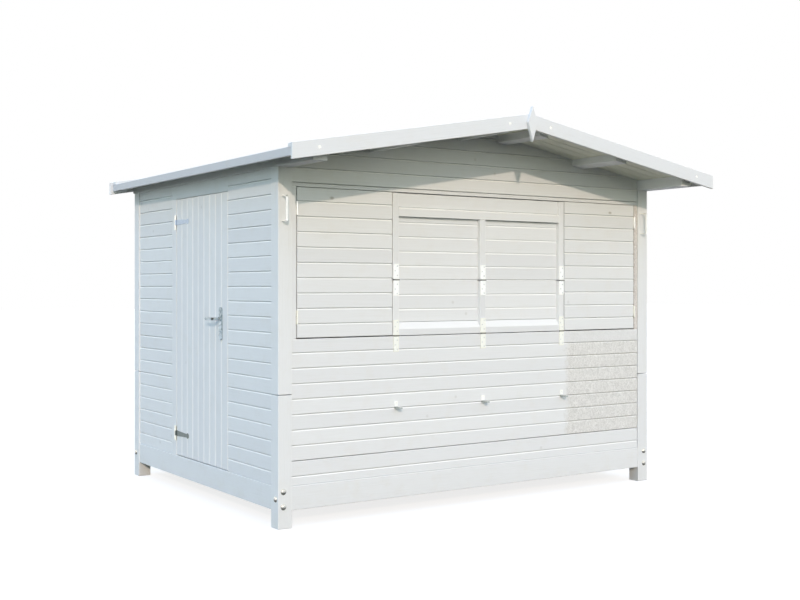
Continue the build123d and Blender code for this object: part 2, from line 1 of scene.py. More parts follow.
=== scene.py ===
"""Wooden market hut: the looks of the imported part, laid out as an add-on and run as a script.

Metres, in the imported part's own frame: X along the serving front, Y to the back and Z up.
"""
import json
import math
import random
from collections import namedtuple

import bmesh
import bpy
import numpy as np
from bpy.props import FloatProperty, FloatVectorProperty, IntProperty, PointerProperty
from mathutils import Matrix, Vector

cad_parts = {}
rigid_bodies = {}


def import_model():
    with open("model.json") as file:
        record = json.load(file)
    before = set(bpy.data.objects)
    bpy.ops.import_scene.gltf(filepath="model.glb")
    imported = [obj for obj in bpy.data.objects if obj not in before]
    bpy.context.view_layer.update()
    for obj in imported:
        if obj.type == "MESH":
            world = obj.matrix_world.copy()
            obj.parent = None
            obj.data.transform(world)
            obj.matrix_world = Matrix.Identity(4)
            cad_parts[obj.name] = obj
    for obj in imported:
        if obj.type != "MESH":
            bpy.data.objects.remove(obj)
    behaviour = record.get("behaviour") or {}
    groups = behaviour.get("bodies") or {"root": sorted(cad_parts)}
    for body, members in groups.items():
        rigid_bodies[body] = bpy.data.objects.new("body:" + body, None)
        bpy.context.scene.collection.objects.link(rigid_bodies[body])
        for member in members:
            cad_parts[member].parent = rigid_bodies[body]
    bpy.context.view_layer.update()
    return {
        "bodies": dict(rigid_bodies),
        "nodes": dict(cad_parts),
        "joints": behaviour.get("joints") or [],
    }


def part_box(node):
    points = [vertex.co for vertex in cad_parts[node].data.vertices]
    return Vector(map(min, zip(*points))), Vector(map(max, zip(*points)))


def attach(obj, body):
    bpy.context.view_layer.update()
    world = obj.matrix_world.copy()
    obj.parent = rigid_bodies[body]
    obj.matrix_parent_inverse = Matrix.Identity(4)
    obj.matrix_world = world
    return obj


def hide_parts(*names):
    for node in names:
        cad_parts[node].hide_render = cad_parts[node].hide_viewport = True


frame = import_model()

bl_info = {
    "name": "Wooden market hut",
    "version": (1, 0, 0),
    "blender": (4, 5, 0),
    "location": "3D View > Sidebar > Hut",
    "description": "Boards, timbers, roofing and ironwork of a wooden market hut",
    "category": "Add Mesh",
}

# Directions of the frame
RIGHT = Vector((1, 0, 0))
REAR = Vector((0, 1, 0))
UP = Vector((0, 0, 1))

# Places taken from the frame
wall_low, wall_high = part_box("front_lower_wall")
gable_low, gable_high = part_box("front_gable")
rear_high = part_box("rear_wall")[1]
left_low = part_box("left_wall_front")[0]
foot_low, foot_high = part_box("lower_posts")
front_sill_low, front_sill_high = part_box("front_sill")
rear_sill_low, rear_sill_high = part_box("rear_sill")
side_sill_low, side_sill_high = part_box("side_sills")
floor_low, floor_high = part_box("floor_deck")
beam_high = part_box("eave_beams")[1]
deck_low, deck_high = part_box("right_roof_deck")
counter_low, counter_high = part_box("counter_frame")
prop_low, prop_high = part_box("prop_frame")
leaf_low, leaf_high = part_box("door_leaf")
barge_low, barge_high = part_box("right_bargeboards")
felt_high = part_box("roof_felt")[1]
handle_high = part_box("door_handle")[1]

RIDGE = gable_high.z
INNER_X = gable_high.x
ROOF_TAN = (RIDGE - beam_high.z) / INNER_X
ROOF_COS = math.cos(math.atan(ROOF_TAN))
ROOF_SIN = math.sin(math.atan(ROOF_TAN))
JOINT_PLACES = {joint["name"]: Vector(joint["pos_m"]) for joint in frame["joints"]}

# How the solids of the frame are read and what counts as flat, sharp, smooth or square
MERGE_DISTANCE = 0.00005
FLAT_ANGLE = math.radians(1)
SHARP_ANGLE = math.radians(20)
SMOOTH_ANGLE = math.radians(35)
SQUARE_FACE = 0.985

# How far along a trunk and from its pith a board's grain may start
TRUNK_LENGTH = 40.0
PITH_REACH = (0.03, 0.11)
# Painted highlight on bevels: its share on an upright one, and how fast it grows as the bevel turns up
EDGE_HIGHLIGHT_SHARE = 0.4
EDGE_HIGHLIGHT_GAIN = 2


def linear(hex_text):
    """Linear red, green and blue of an sRGB hex colour."""
    parts = [int(hex_text[place:place + 2], 16) / 255 for place in (0, 2, 4)]
    return tuple(part / 12.92 if part <= 0.04045 else ((part + 0.055) / 1.055) ** 2.4 for part in parts)


def size(name, description, value):
    """A length that a user would change."""
    return FloatProperty(name=name, description=description, default=value, min=0, precision=4,
                         unit="LENGTH", subtype="DISTANCE")


def colour(name, description, hex_text):
    """A colour that a user would change."""
    return FloatVectorProperty(name=name, description=description, default=linear(hex_text), size=3,
                               min=0, max=1, subtype="COLOR")


def light_strength(name, description, value):
    """A strength of light that a user would change."""
    return FloatProperty(name=name, description=description, default=value, min=0)


class HutBoards(bpy.types.PropertyGroup):
    """Sizes of the boarding."""

    cover: size("Board cover", "Face of a wall board from joint to joint", 0.090)
    chamfer: size("Chamfer", "Width of the bevel on a board's upper edge", 0.0062)
    under_chamfer: size("Lower chamfer", "Width of the bevel on a board's lower edge", 0.0025)
    chamfer_depth: size("Chamfer depth", "Depth of the bevel beside a joint", 0.0040)
    door_chamfer: size("Door chamfer", "Width of the bevel beside a joint of the door", 0.0055)
    door_chamfer_depth: size("Door chamfer depth", "Depth of the bevel beside a door joint", 0.0034)
    deck_chamfer: size("Roof board chamfer", "Width of the bevel under a joint of the roof", 0.0090)
    deck_chamfer_depth: size("Roof board chamfer depth", "Depth of the bevel under a roof joint", 0.0070)
    slit: size("Slit", "Gap between two boards at the bottom of their joint", 0.0027)
    tongue: size("Tongue", "Length of the tongue in the next board", 0.007)
    unevenness: size("Unevenness", "How far a board may lie behind its neighbours", 0.0007)
    ease: size("Eased edge", "Width taken off the edges of planed timbers", 0.0025)
    first_front: size("First front board", "Height of the ripped board on the front sill", 0.0537)
    first_side: size("First side board", "Height of the first board on the side sills", 0.0812)
    open_joint: size("Open joint", "Gap of the open joint in the front wall and of the posts", 0.0045)
    sill_gap: size("Sill gap", "Gap between a sill and the boards over it", 0.0012)
    head_gap: size("Head gap", "Gap between the hatch's head and the gable over it", 0.0045)
    end_gap: size("End gap", "Gap from the front and rear boards to the right posts", 0.0040)
    lip: size("Lip", "How far a leaf's edge reaches into the gap round it", 0.0040)
    shutter_joint: size("Shutter joint", "Height of the lowest joint in the shutters", 1.1845)
    flap_joint: size("Flap joint", "Height of the lowest joint in the flap", 1.1725)
    deck_cover: size("Roof board cover", "Face of a roof board from joint to joint", 0.094)
    floor_cover: size("Floor board cover", "Face of a floor board from joint to joint", 0.118)
    door_boards: IntProperty(name="Door boards", description="Number of boards in the door", default=9)


class HutFlap(bpy.types.PropertyGroup):
    """Sizes of the framing in the flap and shutters."""

    stile: size("Stile width", "Width of the flap's uprights", 0.045)
    bottom_rail: size("Bottom rail", "Upright face of the flap's bottom rail", 0.037)
    top_recess: size("Top board recess", "How far the top board lies behind the frame", 0.012)
    rail_bevel: size("Rail bevel", "Bevel along the top of the flap's upper rail", 0.009)
    rail_gap: size("Rail gap", "Gap between the rails and the panels", 0.0015)
    recess: size("Panel recess", "How far the panels lie behind the frame", 0.026)
    top_board: size("Top board", "Height of the board over the top rail", 0.090)
    top_rail: size("Top rail", "Height of the rail under the top board", 0.052)
    shutter_boards: size("Shutter boards", "Thickness of the shutters' boards", 0.028)
    batten_width: size("Batten width", "Width of the battens inside the shutters", 0.070)
    batten_edge: size("Batten edge", "From the end of a batten to the shutter's edge", 0.090)


class HutFittings(bpy.types.PropertyGroup):
    """Sizes of the ironwork and fixings."""

    screw_radius: size("Screw radius", "Radius of the hinge screws' heads", 0.0048)
    cover_screw_radius: size("Cover screw radius", "Radius of the bargeboards' screws", 0.0080)
    cover_screw_height: size("Cover screw height", "Height of the bargeboards' screws", 0.0055)
    bolt_radius: size("Bolt radius", "Radius of the round heads of the frame bolts", 0.0155)
    bolt_height: size("Bolt height", "Height of the round heads of the frame bolts", 0.010)
    bolt_spread: size("Bolt spread", "Between the two bolts on the end faces of a post", 0.088)
    strap_length: size("Strap leaf", "Length of a leaf of the flap's hinges", 0.098)
    strap_width: size("Strap width", "Width of a leaf of the flap's hinges", 0.040)
    butt_height: size("Butt height", "Height of the shutters' hinges", 0.080)
    tee_height: size("Tee height", "Height of the plates of the door's hinges", 0.100)
    tee_plate: size("Tee plate", "Width of the plates of the door's hinges", 0.034)
    tee_strap: size("Tee strap", "Length of the straps of the door's hinges", 0.212)
    plate_thickness: size("Plate thickness", "Thickness of the hinge plates", 0.003)
    nail_radius: size("Nail radius", "Radius of the felt nails' heads", 0.006)
    nail_spacing: size("Nail spacing", "Between the nails along the edges of the felt", 0.100)


class HutRoofing(bpy.types.PropertyGroup):
    """Sizes of the roof covering."""

    course: size("Course", "Width of a strip of felt up the slope", 0.600)
    lap: size("Lap", "How far a strip covers the one below it", 0.080)
    cap: size("Ridge strip", "Width of the ridge strip on each slope", 0.180)
    thickness: size("Felt thickness", "Thickness of one layer of felt", 0.0022)
    setback: size("Setback", "From the fascia's face back to the edge of the felt", 0.022)
    fascia_lift: size("Fascia lift", "How far the fascia's lower edge stands up from the frame's", 0.006)
    fascia_rise: size("Fascia rise", "How far the fascia's upper edge stands up from the frame's", 0.011)


class HutColours(bpy.types.PropertyGroup):
    """Colours of the finishes."""

    paint: colour("White paint", "Clean white paint", "E9ECED")
    paint_dull: colour("Dull paint", "Paint on boards that took it thinner", "E3E6E8")
    # Painted bounce light: a yellow tint on the roof boards, seen from below in shade, standing in for warm
    # light bounced into the soffit.
    paint_warm_shade: colour("Aged paint", "White paint gone a little yellow under the roof", "E7E9D9")
    # White paint drawn greyer on the eave fascias.
    paint_fascia_grey: colour("Weathered paint", "White paint gone grey along the eaves", "D0D2D5")
    paint_stain: colour("Stained paint", "Paint yellowed by resin and handling", "DDD8CB")
    # Painted highlight: brighter paint on the bevels that face up, standing in for the light that falls on
    # them.
    paint_edge_highlight: colour("Paint on edges", "Thick clean paint on the edges that face up", "F8F9F8")
    primer: colour("Primer", "Grey primer that shows through thin paint", "CFD0CC")
    knot: colour("Knot", "Knots that show grey through the paint", "A9A8A0")
    scuff_light: colour("Scuffed paint, light", "Lighter marks on the scuffed boards", "EAEAE7")
    scuff_dark: colour("Scuffed paint, dark", "Darker marks on the scuffed boards", "CDCDC9")
    dust: colour("Dust", "Dust splashed on timbers near the ground", "B9B2A2")
    pine_light: colour("Pale pine", "Early wood of bare pine", "D8B98C")
    pine_dark: colour("Dark pine", "Late wood of bare pine", "A9794A")
    felt: colour("Felt", "Bitumen felt between its grit", "3D4042")
    grit: colour("Grit", "Mineral grit on the felt", "7C8082")
    zinc: colour("Zinc", "Bright zinc plating", "FEFEF8")
    zinc_dull: colour("Dull zinc", "Places where the plating is duller", "F6F7F0")
    zinc_low: colour("Low zinc", "Plating gone cream nearer the ground", "F2F2E6")
    # Mottled marks on the right jamb, mostly darker than the paint and fainter higher up.
    jamb_mark_light: colour("Stained jamb, light", "Lighter marks on the right jamb", "E0DBD6")
    jamb_mark_dark: colour("Stained jamb, dark", "Darker marks on the right jamb", "C2BBB4")
    # Painted reflection: the blue of the upper door strap stands in for the sky reflected in its zinc.
    strap: colour("Door strap", "Zinc of the upper door strap, dulled by paint", "BCCAD8")
    hook_low: colour("Hook prong", "Worn grey zinc of the hooks' prongs", "AEB4B0")
    strap_low: colour("Lower door strap", "Bare grey zinc of the lower door strap", "7C8583")
    screw: colour("Hinge screws", "Zinc of the hinge screws", "E4E6E0")
    screw_dull: colour("Dull hinge screws", "Duller places of the hinge screws", "D2D6D0")
    galvanised: colour("Galvanised steel", "Weathered hot-dip zinc of the felt nails", "8F9794")
    galvanised_dull: colour("Dull galvanised steel", "Darker spangles of hot-dip zinc", "6D7573")
    nickel: colour("Nickel", "Satin nickel of the lever", "C0CCD1")
    nickel_dull: colour("Dull nickel", "Handled places of the lever", "7F8F95")
    # Painted shade: the dark line at the flap's hinge pins, the dark spots at the levers' spindle and bend,
    # and the dark undersides of the bolt heads.
    painted_shade: colour("Grime", "Dark grease at hinge pins and levers, and dirt under bolt heads", "34362F")
    floor: colour("Studio floor", "Floor as the hut sees it", "86857D")
    sun: colour("Key light", "Warm key light", "FFE7D3")
    horizon: colour("Low fill", "Warm fill from all round", "FFF9B2")
    rear_fill: colour("Rear fill", "Cool fill from behind the hut", "BCC5FF")
    front_fill: colour("Front fill", "Cool fill from high in front of the hut", "B0C9FF")
    left_fill: colour("Left fill", "Cool fill from the left", "32A5FF")


class HutStage(bpy.types.PropertyGroup):
    """Light and camera."""

    key_strength: light_strength("Key strength", "Strength of the key light", 1.504)
    low_strength: light_strength("Low fill", "Strength of the fill from all round", 1.298)
    rear_strength: light_strength("Rear fill", "Strength of the fill behind the hut", 0.90)
    front_strength: light_strength("Front fill", "Strength of the fill in front", 1.479)
    left_strength: light_strength("Left fill", "Strength of the fill on the left", 1.202)
    floor_strength: light_strength("Floor glow", "Strength of the light from the floor", 0.02)
    key_softness: FloatProperty(name="Key softness", description="Angle over which the key spreads",
                                default=math.radians(1.2), subtype="ANGLE")
    lens: FloatProperty(name="Lens", description="Focal length for a 36 mm wide picture", default=50.504,
                        unit="CAMERA")
    turn: FloatProperty(name="Turn", description="Turn of the camera from straight ahead",
                        default=math.radians(33.8045), subtype="ANGLE")
    eye: FloatVectorProperty(name="Eye", description="Place of the camera", subtype="TRANSLATION",
                             unit="LENGTH", default=(-4.5153, -6.7251, 1.4056))
    rise: FloatProperty(name="Rise", description="Upright shift of the picture, as a share of its width",
                        default=-0.01726)


# Mesh making

Run = namedtuple("Run", "along across out face")
FRONT = Run(RIGHT, UP, -REAR, -wall_low.y)
BACK = Run(RIGHT, UP, REAR, rear_high.y)
LEFT = Run(REAR, UP, -RIGHT, -left_low.x)
RIGHT_SIDE = Run(REAR, UP, RIGHT, -left_low.x)
DOOR = Run(UP, REAR, -RIGHT, -leaf_low.x)


def spot(run, length, across, depth=0):
    """A point on a run of boards: along it, across its face and down from its face."""
    return run.along * length + run.across * across + run.out * (run.face - depth)


def prism(section, run, span, sink=0):
    """A closed prism along a run, from a section of (across, depth) pairs."""
    piece = bmesh.new()
    first, last = [
        [piece.verts.new(spot(run, length, across, depth + sink)) for across, depth in section]
        for length in span
    ]
    piece.faces.new(first)
    piece.faces.new(last[::-1])
    for index, point in enumerate(first):
        piece.faces.new((first[index - 1], last[index - 1], last[index], point))
    bmesh.ops.recalc_face_normals(piece, faces=piece.faces[:])
    return piece


def trim(piece, point, normal):
    """Cuts away what lies beyond a plane and closes the cut."""
    everything = piece.verts[:] + piece.edges[:] + piece.faces[:]
    bmesh.ops.bisect_plane(piece, geom=everything, plane_co=point, plane_no=normal, clear_outer=True,
                           dist=MERGE_DISTANCE)
    open_edges = [edge for edge in piece.edges if edge.is_boundary]
    bmesh.ops.holes_fill(piece, edges=open_edges)


def ease(piece, width):
    """Takes the sharp edges off a timber and returns the narrow faces that this leaves."""
    sharp = [edge for edge in piece.edges if edge.calc_face_angle(0) > SHARP_ANGLE]
    made = bmesh.ops.bevel(piece, geom=sharp, offset=width, segments=2, profile=0.5, affect="EDGES",
                           clamp_overlap=True)
    return set(made["faces"])


def ringed(rings):
    """A closed solid through rings of points, with flat ends."""
    piece = bmesh.new()
    rows = [[piece.verts.new(point) for point in ring] for ring in rings]
    piece.faces.new(rows[0][::-1])
    piece.faces.new(rows[-1])
    for below, above in zip(rows, rows[1:]):
        for step in range(len(below)):
            piece.faces.new((below[step - 1], below[step], above[step], above[step - 1]))
    bmesh.ops.recalc_face_normals(piece, faces=piece.faces[:])
    return piece


def round_steps(sides):
    """The cosine and sine of even steps round a circle."""
    angles = [math.tau * step / sides for step in range(sides)]
    return [(math.cos(angle), math.sin(angle)) for angle in angles]


def turned(profile, place, sides):
    """A turned solid: (radius, height) pairs up its side, on a matrix whose Z is its axis."""
    circle = round_steps(sides)
    return ringed([[place @ Vector((radius * across, radius * up, height)) for across, up in circle]
                   for radius, height in profile])


def tube(points, radii, sides):
    """A bar of changing radius through points that lie in one plane."""
    circle = round_steps(sides)
    normal = (points[1] - points[0]).cross(points[-1] - points[0]).normalized()
    rings = []
    for index, (point, radius) in enumerate(zip(points, radii)):
        before = points[max(index - 1, 0)]
        after = points[min(index + 1, len(points) - 1)]
        side = (after - before).cross(normal).normalized()
        rings.append([point + radius * (side * across + normal * up) for across, up in circle])
    return ringed(rings)


def facing(point, outward, up=UP):
    """A matrix at a point whose Z looks outward and whose Y points up."""
    across = up.cross(outward).normalized()
    rows = Matrix((across, outward.cross(across), outward)).transposed()
    return Matrix.Translation(point) @ rows.to_4x4()


class Pile:
    """Gathers finished pieces as one mesh, with the grain's own coordinates on every point."""

    def __init__(self, name, seed):
        self.name = name
        self.draw = random.Random(seed)
        self.points = []
        self.faces = []
        self.grain = []
        self.tone = []
        self.edge = []

    def add(self, piece, run=None, narrow=None, highlight=1.0):
        """Takes in one piece. Its grain follows the run, or else its own longest direction.

        The narrow faces, or else all that lie askew to the grain, get a share of painted highlight that
        grows as they face up.
        """
        base = len(self.points)
        axes = (run.along, run.across, run.out) if run else longest_axes(piece)
        piece.verts.index_update()
        middle = sum((vert.co for vert in piece.verts), Vector()) / len(piece.verts)
        start = self.draw.uniform(0, TRUNK_LENGTH)
        pith = self.draw.uniform(*PITH_REACH)
        tone = self.draw.random()
        for vert in piece.verts:
            along, across, out = [(vert.co - middle).dot(axis) for axis in axes]
            self.points.append(vert.co.copy())
            self.grain.append((along + start, across, out + pith))
            self.tone.append(tone)
        for face in piece.faces:
            self.faces.append([base + vert.index for vert in face.verts])
            if narrow is None:
                bevelled = max(abs(face.normal.dot(axis)) for axis in axes) < SQUARE_FACE
            else:
                bevelled = face in narrow
            # Painted highlight: a bevel's share grows as it turns up, as if lit from above.
            share = min(max(EDGE_HIGHLIGHT_SHARE + EDGE_HIGHLIGHT_GAIN * face.normal.z, 0.0), 1.0)
            self.edge.append(highlight * share if bevelled else 0.0)
        piece.free()

    def finish(self, body, slot, material, nodes=(), smooth=False):
        """Makes the object, which rides on a body and stands for some nodes of the frame."""
        mesh = bpy.data.meshes.new(self.name)
        mesh.from_pydata(self.points, [], self.faces)
        grain = mesh.attributes.new("grain", "FLOAT_VECTOR", "POINT")
        grain.data.foreach_set("vector", np.array(self.grain, np.float32).ravel())
        mesh.attributes.new("tone", "FLOAT", "POINT").data.foreach_set("value", self.tone)
        # The edge attribute holds each face's share of painted highlight.
        mesh.attributes.new("edge", "FLOAT", "FACE").data.foreach_set("value", self.edge)
        mesh.materials.append(material)
        if smooth:
            mesh.shade_smooth()
            mesh.set_sharp_from_angle(angle=SMOOTH_ANGLE)
        piece = bpy.data.objects.new(self.name, mesh)
        bpy.context.scene.collection.objects.link(piece)
        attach(piece, body)
        if nodes:
            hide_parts(*nodes)


def longest_axes(piece):
    """The longest direction of a piece, and two across it."""
    points = np.array([vert.co for vert in piece.verts])
    spread = np.linalg.eigh(np.cov((points - points.mean(0)).T))[1]
    return [Vector(spread[:, place]) for place in (2, 1, 0)]


def separate(source):
    """Splits a mesh into its loose pieces, with points and faces in the same order in each run."""
    left = dict.fromkeys(source.verts)
    while left:
        found = []
        waiting = [left.popitem()[0]]
        while waiting:
            vert = waiting.pop()
            found.append(vert)
            for edge in vert.link_edges:
                other = edge.other_vert(vert)
                if other in left:
                    del left[other]
                    waiting.append(other)
        piece = bmesh.new()
        copies = {vert: piece.verts.new(vert.co) for vert in found}
        for face in dict.fromkeys(face for vert in found for face in vert.link_faces):
            piece.faces.new([copies[vert] for vert in face.verts])
        bmesh.ops.recalc_face_normals(piece, faces=piece.faces[:])
        yield piece


def first_corner(piece):
    """The first point of a piece by X, Y and Z, rounded so that the order of pieces is steady."""
    return tuple(round(part, 4) for part in min(tuple(vert.co) for vert in piece.verts))


def ordered_pieces(node):
    """The solids of a node of the frame with whole flat faces, in a steady order."""
    source = bmesh.new()
    source.from_mesh(frame["nodes"][node].data)
    bmesh.ops.remove_doubles(source, verts=source.verts[:], dist=MERGE_DISTANCE)
    bmesh.ops.dissolve_limit(source, angle_limit=FLAT_ANGLE, verts=source.verts[:],
                             edges=source.edges[:])
    pieces = list(separate(source))
    source.free()
    return sorted(pieces, key=first_corner)


def add_eased(pile, nodes, width):
    """Adds the solids of some nodes of the frame with eased edges."""
    for node in nodes:
        for piece in ordered_pieces(node):
            axes = Run(*longest_axes(piece), 0)
            narrow = ease(piece, width)
            pile.add(piece, axes, narrow)


def add_beam(pile, low, high, along, width):
    """Adds a straight timber between two corners, its grain along one direction."""
    across = UP if abs(along.dot(UP)) < 0.5 else RIGHT
    run = Run(along, across, along.cross(across), 0)
    corners = [Vector(low), Vector(high)]
    reaches = [sorted(corner.dot(axis) for corner in corners) for axis in run[:3]]
    span, (left, right), (bottom, top) = reaches
    piece = prism([(left, -bottom), (right, -bottom), (right, -top), (left, -top)], run, span)
    narrow = ease(piece, width)
    pile.add(piece, run, narrow)


# Boards

TONGUE_SHARES = (0.42, 0.66)
TONGUE_PLAY = 0.0005


def board_section(low, high, thickness, boards, grooved, tongued, bevels):
    """Section of a board as (across, depth) pairs, with plain edges where it begins or ends a row."""
    half = boards.slit / 2
    near, far = [share * thickness for share in TONGUE_SHARES]
    bottom = low + half if grooved else low
    top = high - half if tongued else high
    bottom_bevel = bevels[0] if grooved else (boards.ease, boards.ease)
    top_bevel = bevels[1] if tongued else (boards.ease, boards.ease)
    section = [(bottom + bottom_bevel[0], 0), (top - top_bevel[0], 0), (top, top_bevel[1])]
    if tongued:
        tip = top + boards.tongue
        section += [(top, near), (tip, near), (tip, far), (top, far)]
    section += [(top, thickness), (bottom, thickness)]
    if grooved:
        root = bottom + boards.tongue + TONGUE_PLAY
        near, far = near - TONGUE_PLAY, far + TONGUE_PLAY
        section += [(bottom, far), (root, far), (root, near), (bottom, near)]
    section.append((bottom, bottom_bevel[1]))
    return section


def row_joints(low, high, first, cover, least=0.012):
    """Joints of a row of boards: its two ends and every board's edge between them."""
    joints = [low]
    place = first + math.ceil((low + least - first) / cover) * cover
    while place < high - least:
        joints.append(place)
        place += cover
    return joints + [high]


def lay_boards(pile, run, span, joints, thickness, boards, cuts=(), bevels=None):
    """Lays a row of tongue-and-groove boards, each trimmed by the cutting planes."""
    last = len(joints) - 2
    widths = (boards.under_chamfer, boards.chamfer)
    bevels = bevels or [(width, boards.chamfer_depth) for width in widths]
    for index, (low, high) in enumerate(zip(joints, joints[1:])):
        section = board_section(low, high, thickness, boards, index > 0, index < last, bevels)
        board = prism(section, run, span, pile.draw.uniform(0, boards.unevenness))
        for point, normal in cuts:
            trim(board, point, normal)
        # A board that lies wholly beyond a cut has nothing left of it.
        if len(board.faces) > 3:
            pile.add(board, run)
        else:
            board.free()


def slope(side):
    """Directions down a slope of the roof and out of it."""
    return Vector((side * ROOF_COS, 0, -ROOF_SIN)), Vector((side * ROOF_SIN, 0, ROOF_COS))


# Fixings

# Sides of turned heads, as shares of their radius and height, or of the radius alone for a nail
SCREW_HEAD = ((1.0, 0.0), (1.0, 0.35), (0.78, 1.0), (0.45, 1.0), (0.36, 0.3))
SCREW_HEIGHT = 0.34
NAIL_HEAD = ((1.0, 0.0), (1.0, 0.1), (0.7, 0.28), (0.1, 0.36))
WASHER = ((1.18, 0.0), (1.18, 0.7), (1.12, 1.0), (1.0, 1.0))
WASHER_HEIGHT = 0.16
BOLT_TIP = 0.02
BOLT_STEPS = 7


def scaled(profile, radius, height):
    """The side of a turned head at its real size."""
    return [(radius * across, height * up) for across, up in profile]


def add_screw(pile, place, radius):
    """Adds a low round screw head with a recess, on a matrix whose Z looks out."""
    pile.add(turned(scaled(SCREW_HEAD, radius, SCREW_HEIGHT * radius), place, 12))


def add_bolt(pile, place, radius, height):
    """Adds a round bolt head on a thin washer."""
    washer = WASHER_HEIGHT * height
    profile = scaled(WASHER, radius, washer)
    for step in range(1, BOLT_STEPS):
        angle = math.pi / 2 * step / BOLT_STEPS
        profile.append((radius * math.cos(angle), washer + (height - washer) * math.sin(angle)))
    profile.append((BOLT_TIP * radius, height))
    pile.add(turned(profile, place, 20))


def stile_middles(flap):
    """Where the flap's three uprights, and the hinges and hooks on their line, lie across the front."""
    edge = counter_high.x - flap.stile / 2
    return -edge, 0.0, edge


def lever_place(x):
    """Where the spindle of the door's levers passes a place across the hut."""
    height = handle_high.z - HUT_OT_lever.PLATE_HEIGHT / 2 + HUT_OT_lever.PLATE_DROP
    return Vector((x, leaf_low.y + HUT_OT_lever.EDGE, height))


# Materials

PAINT = "white_paint_on_planed_softwood"
SCUFFED = "scuffed_white_paint_on_planed_softwood"
JAMB_MARKED = "jamb_marked_white_paint_on_planed_softwood"
SOFFIT_WARM_SHADE = "warm_shade_white_paint_on_planed_softwood"
FASCIA_GREY = "greyer_white_paint_on_planed_softwood"
PINE = "bare_planed_pine"
FELT = "mineral_bitumen_felt"
ZINC = "bright_zinc_plated_steel"
SCREW_ZINC = "zinc_plated_screws"
HOOK_ZINC = "zinc_plated_hooks"
BOLT_ZINC = "zinc_plated_bolt_heads"
STRAP_ZINC = "weathered_and_sky_tinted_zinc_plated_steel"
GALVANISED = "hot_dip_galvanised_steel"
NICKEL = "satin_nickel_plated_steel"

# Settings of the nodes that mix two colours or multiply two numbers
BLEND = {"data_type": "RGBA"}
TIMES = {"operation": "MULTIPLY"}
TIMES_PLUS = {"operation": "MULTIPLY_ADD"}

# Wavelength of a wave texture at a scale of 1
WAVE_UNIT = math.tau / 20
# Sizes of the patterns. Growth rings of about 3 mm, wood fibres of under 1 mm and grit of about 1.5 mm
# are too fine to show, so they are drawn coarser.
PAINTED_RING = 0.007
PAINTED_FIBRE = 0.0035
PINE_RING = 0.006
PINE_FIBRE = 0.003
FIBRE_LENGTH = 0.160
KNOT_CELL = 0.240
KNOT_CORE = 0.006
KNOT_RIM = 0.013
BLOTCH = 0.110
RAGGED_EDGE = 0.030
MOTTLE = 0.021
GRIT = 0.003
WASHED_AREA = 0.350
CLOUD = 0.018
# Rings change this much slower along the grain than across it
RING_STRETCH = 0.09
# Rolling marks in a metre of steel, along X, Y and Z
ROLLING_MARKS = (900, 900, 60)

# How far knots, the painted highlight on edges and scuff marks cover the paint
KNOT_BLEED = 0.22
EDGE_HIGHLIGHT_COVER = 0.85
SCUFF_COVER = 0.85
# Height to which dust is splashed
SPLASH = 0.24
# Knots on the top boards of the two shutters
KNOTS_SEEN = ((-1.137, wall_low.y, 1.930), (1.139, wall_low.y, 1.924))
# Scuffed patch of the front wall: where it starts sideways, and the joints over the ripped board at which
# it starts and grows fainter
SCUFF_START = 0.712
SCUFF_JOINTS = (1, 8)
# Marks on the right jamb, mostly darker than the paint: where they start sideways, and the heights at which
# they start and grow fainter
JAMB_MARK_START = 1.2
JAMB_MARK_HEIGHTS = (1.0, 2.1)
# Heights between which the plating goes from its lower to its upper colour
ZINC_CHANGE = (1.25, 1.35)
HOOK_CHANGE = (0.658, 0.666)
STRAP_CHANGE = (0.8, 1.4)
# Roughness of the smoothest and the roughest places of a plating
BRIGHT_GLOSS = (0.24, 0.42)
DULL_GLOSS = (0.40, 0.58)
SATIN_GLOSS = (0.22, 0.36)


def add_node(tree, kind, settings=None, inputs=None):
    """Adds a node with its settings, and its inputs as values or as (node, output) pairs to link."""
    made = tree.nodes.new("ShaderNode" + kind)
    for name, value in (settings or {}).items():
        setattr(made, name, value)
    for key, value in (inputs or {}).items():
        if isinstance(value, tuple) and isinstance(value[0], bpy.types.Node):
            source, output = value
            tree.links.new(source.outputs[output], made.inputs[key])
        else:
            made.inputs[key].default_value = value
    return made


def new_material(name):
    """A new material, its node tree and its surface shader."""
    material = bpy.data.materials.new(name)
    material.use_nodes = True
    tree = material.node_tree
    return material, tree, tree.nodes["Principled BSDF"]


def rgba(value):
    """A colour property with full opacity."""
    return (*value, 1.0)


def wood_pattern(tree, ring_spacing, fibre_width):
    """Rings and fibres that follow the grain of each board, and the spots where its knots are."""
    grain = add_node(tree, "Attribute", {"attribute_name": "grain"})
    drawn_out = add_node(tree, "Mapping", {}, {"Vector": (grain, "Vector"), "Scale": (RING_STRETCH, 1, 1)})
    rings = add_node(tree, "TexWave", {"wave_type": "RINGS", "rings_direction": "X"},
                     {"Vector": (drawn_out, "Vector"), "Scale": WAVE_UNIT / ring_spacing, "Distortion": 2.6,
                      "Detail": 2.0, "Detail Scale": 0.35, "Detail Roughness": 0.55})
    fibre_scale = (1 / FIBRE_LENGTH, 1 / fibre_width, 1 / fibre_width)
    stretched = add_node(tree, "Mapping", {}, {"Vector": (grain, "Vector"), "Scale": fibre_scale})
    fibres = add_node(tree, "TexNoise", {},
                      {"Vector": (stretched, "Vector"), "Scale": 1.0, "Detail": 3.0, "Roughness": 0.6})
    cells = add_node(tree, "TexVoronoi", {"voronoi_dimensions": "2D"},
                     {"Vector": (grain, "Vector"), "Scale": 1 / KNOT_CELL})
    near_knot = add_node(tree, "MapRange", {},
                         {"Value": (cells, "Distance"), "From Min": KNOT_CORE / KNOT_CELL,
                          "From Max": KNOT_RIM / KNOT_CELL, "To Min": 1.0, "To Max": 0.0})
    some_cells = add_node(tree, "MapRange", {},
                          {"Value": (cells, "Color"), "From Min": 0.87, "From Max": 0.89})
    knots = add_node(tree, "Math", TIMES, {0: (near_knot, "Result"), 1: (some_cells, "Result")})
    return grain, rings, fibres, knots


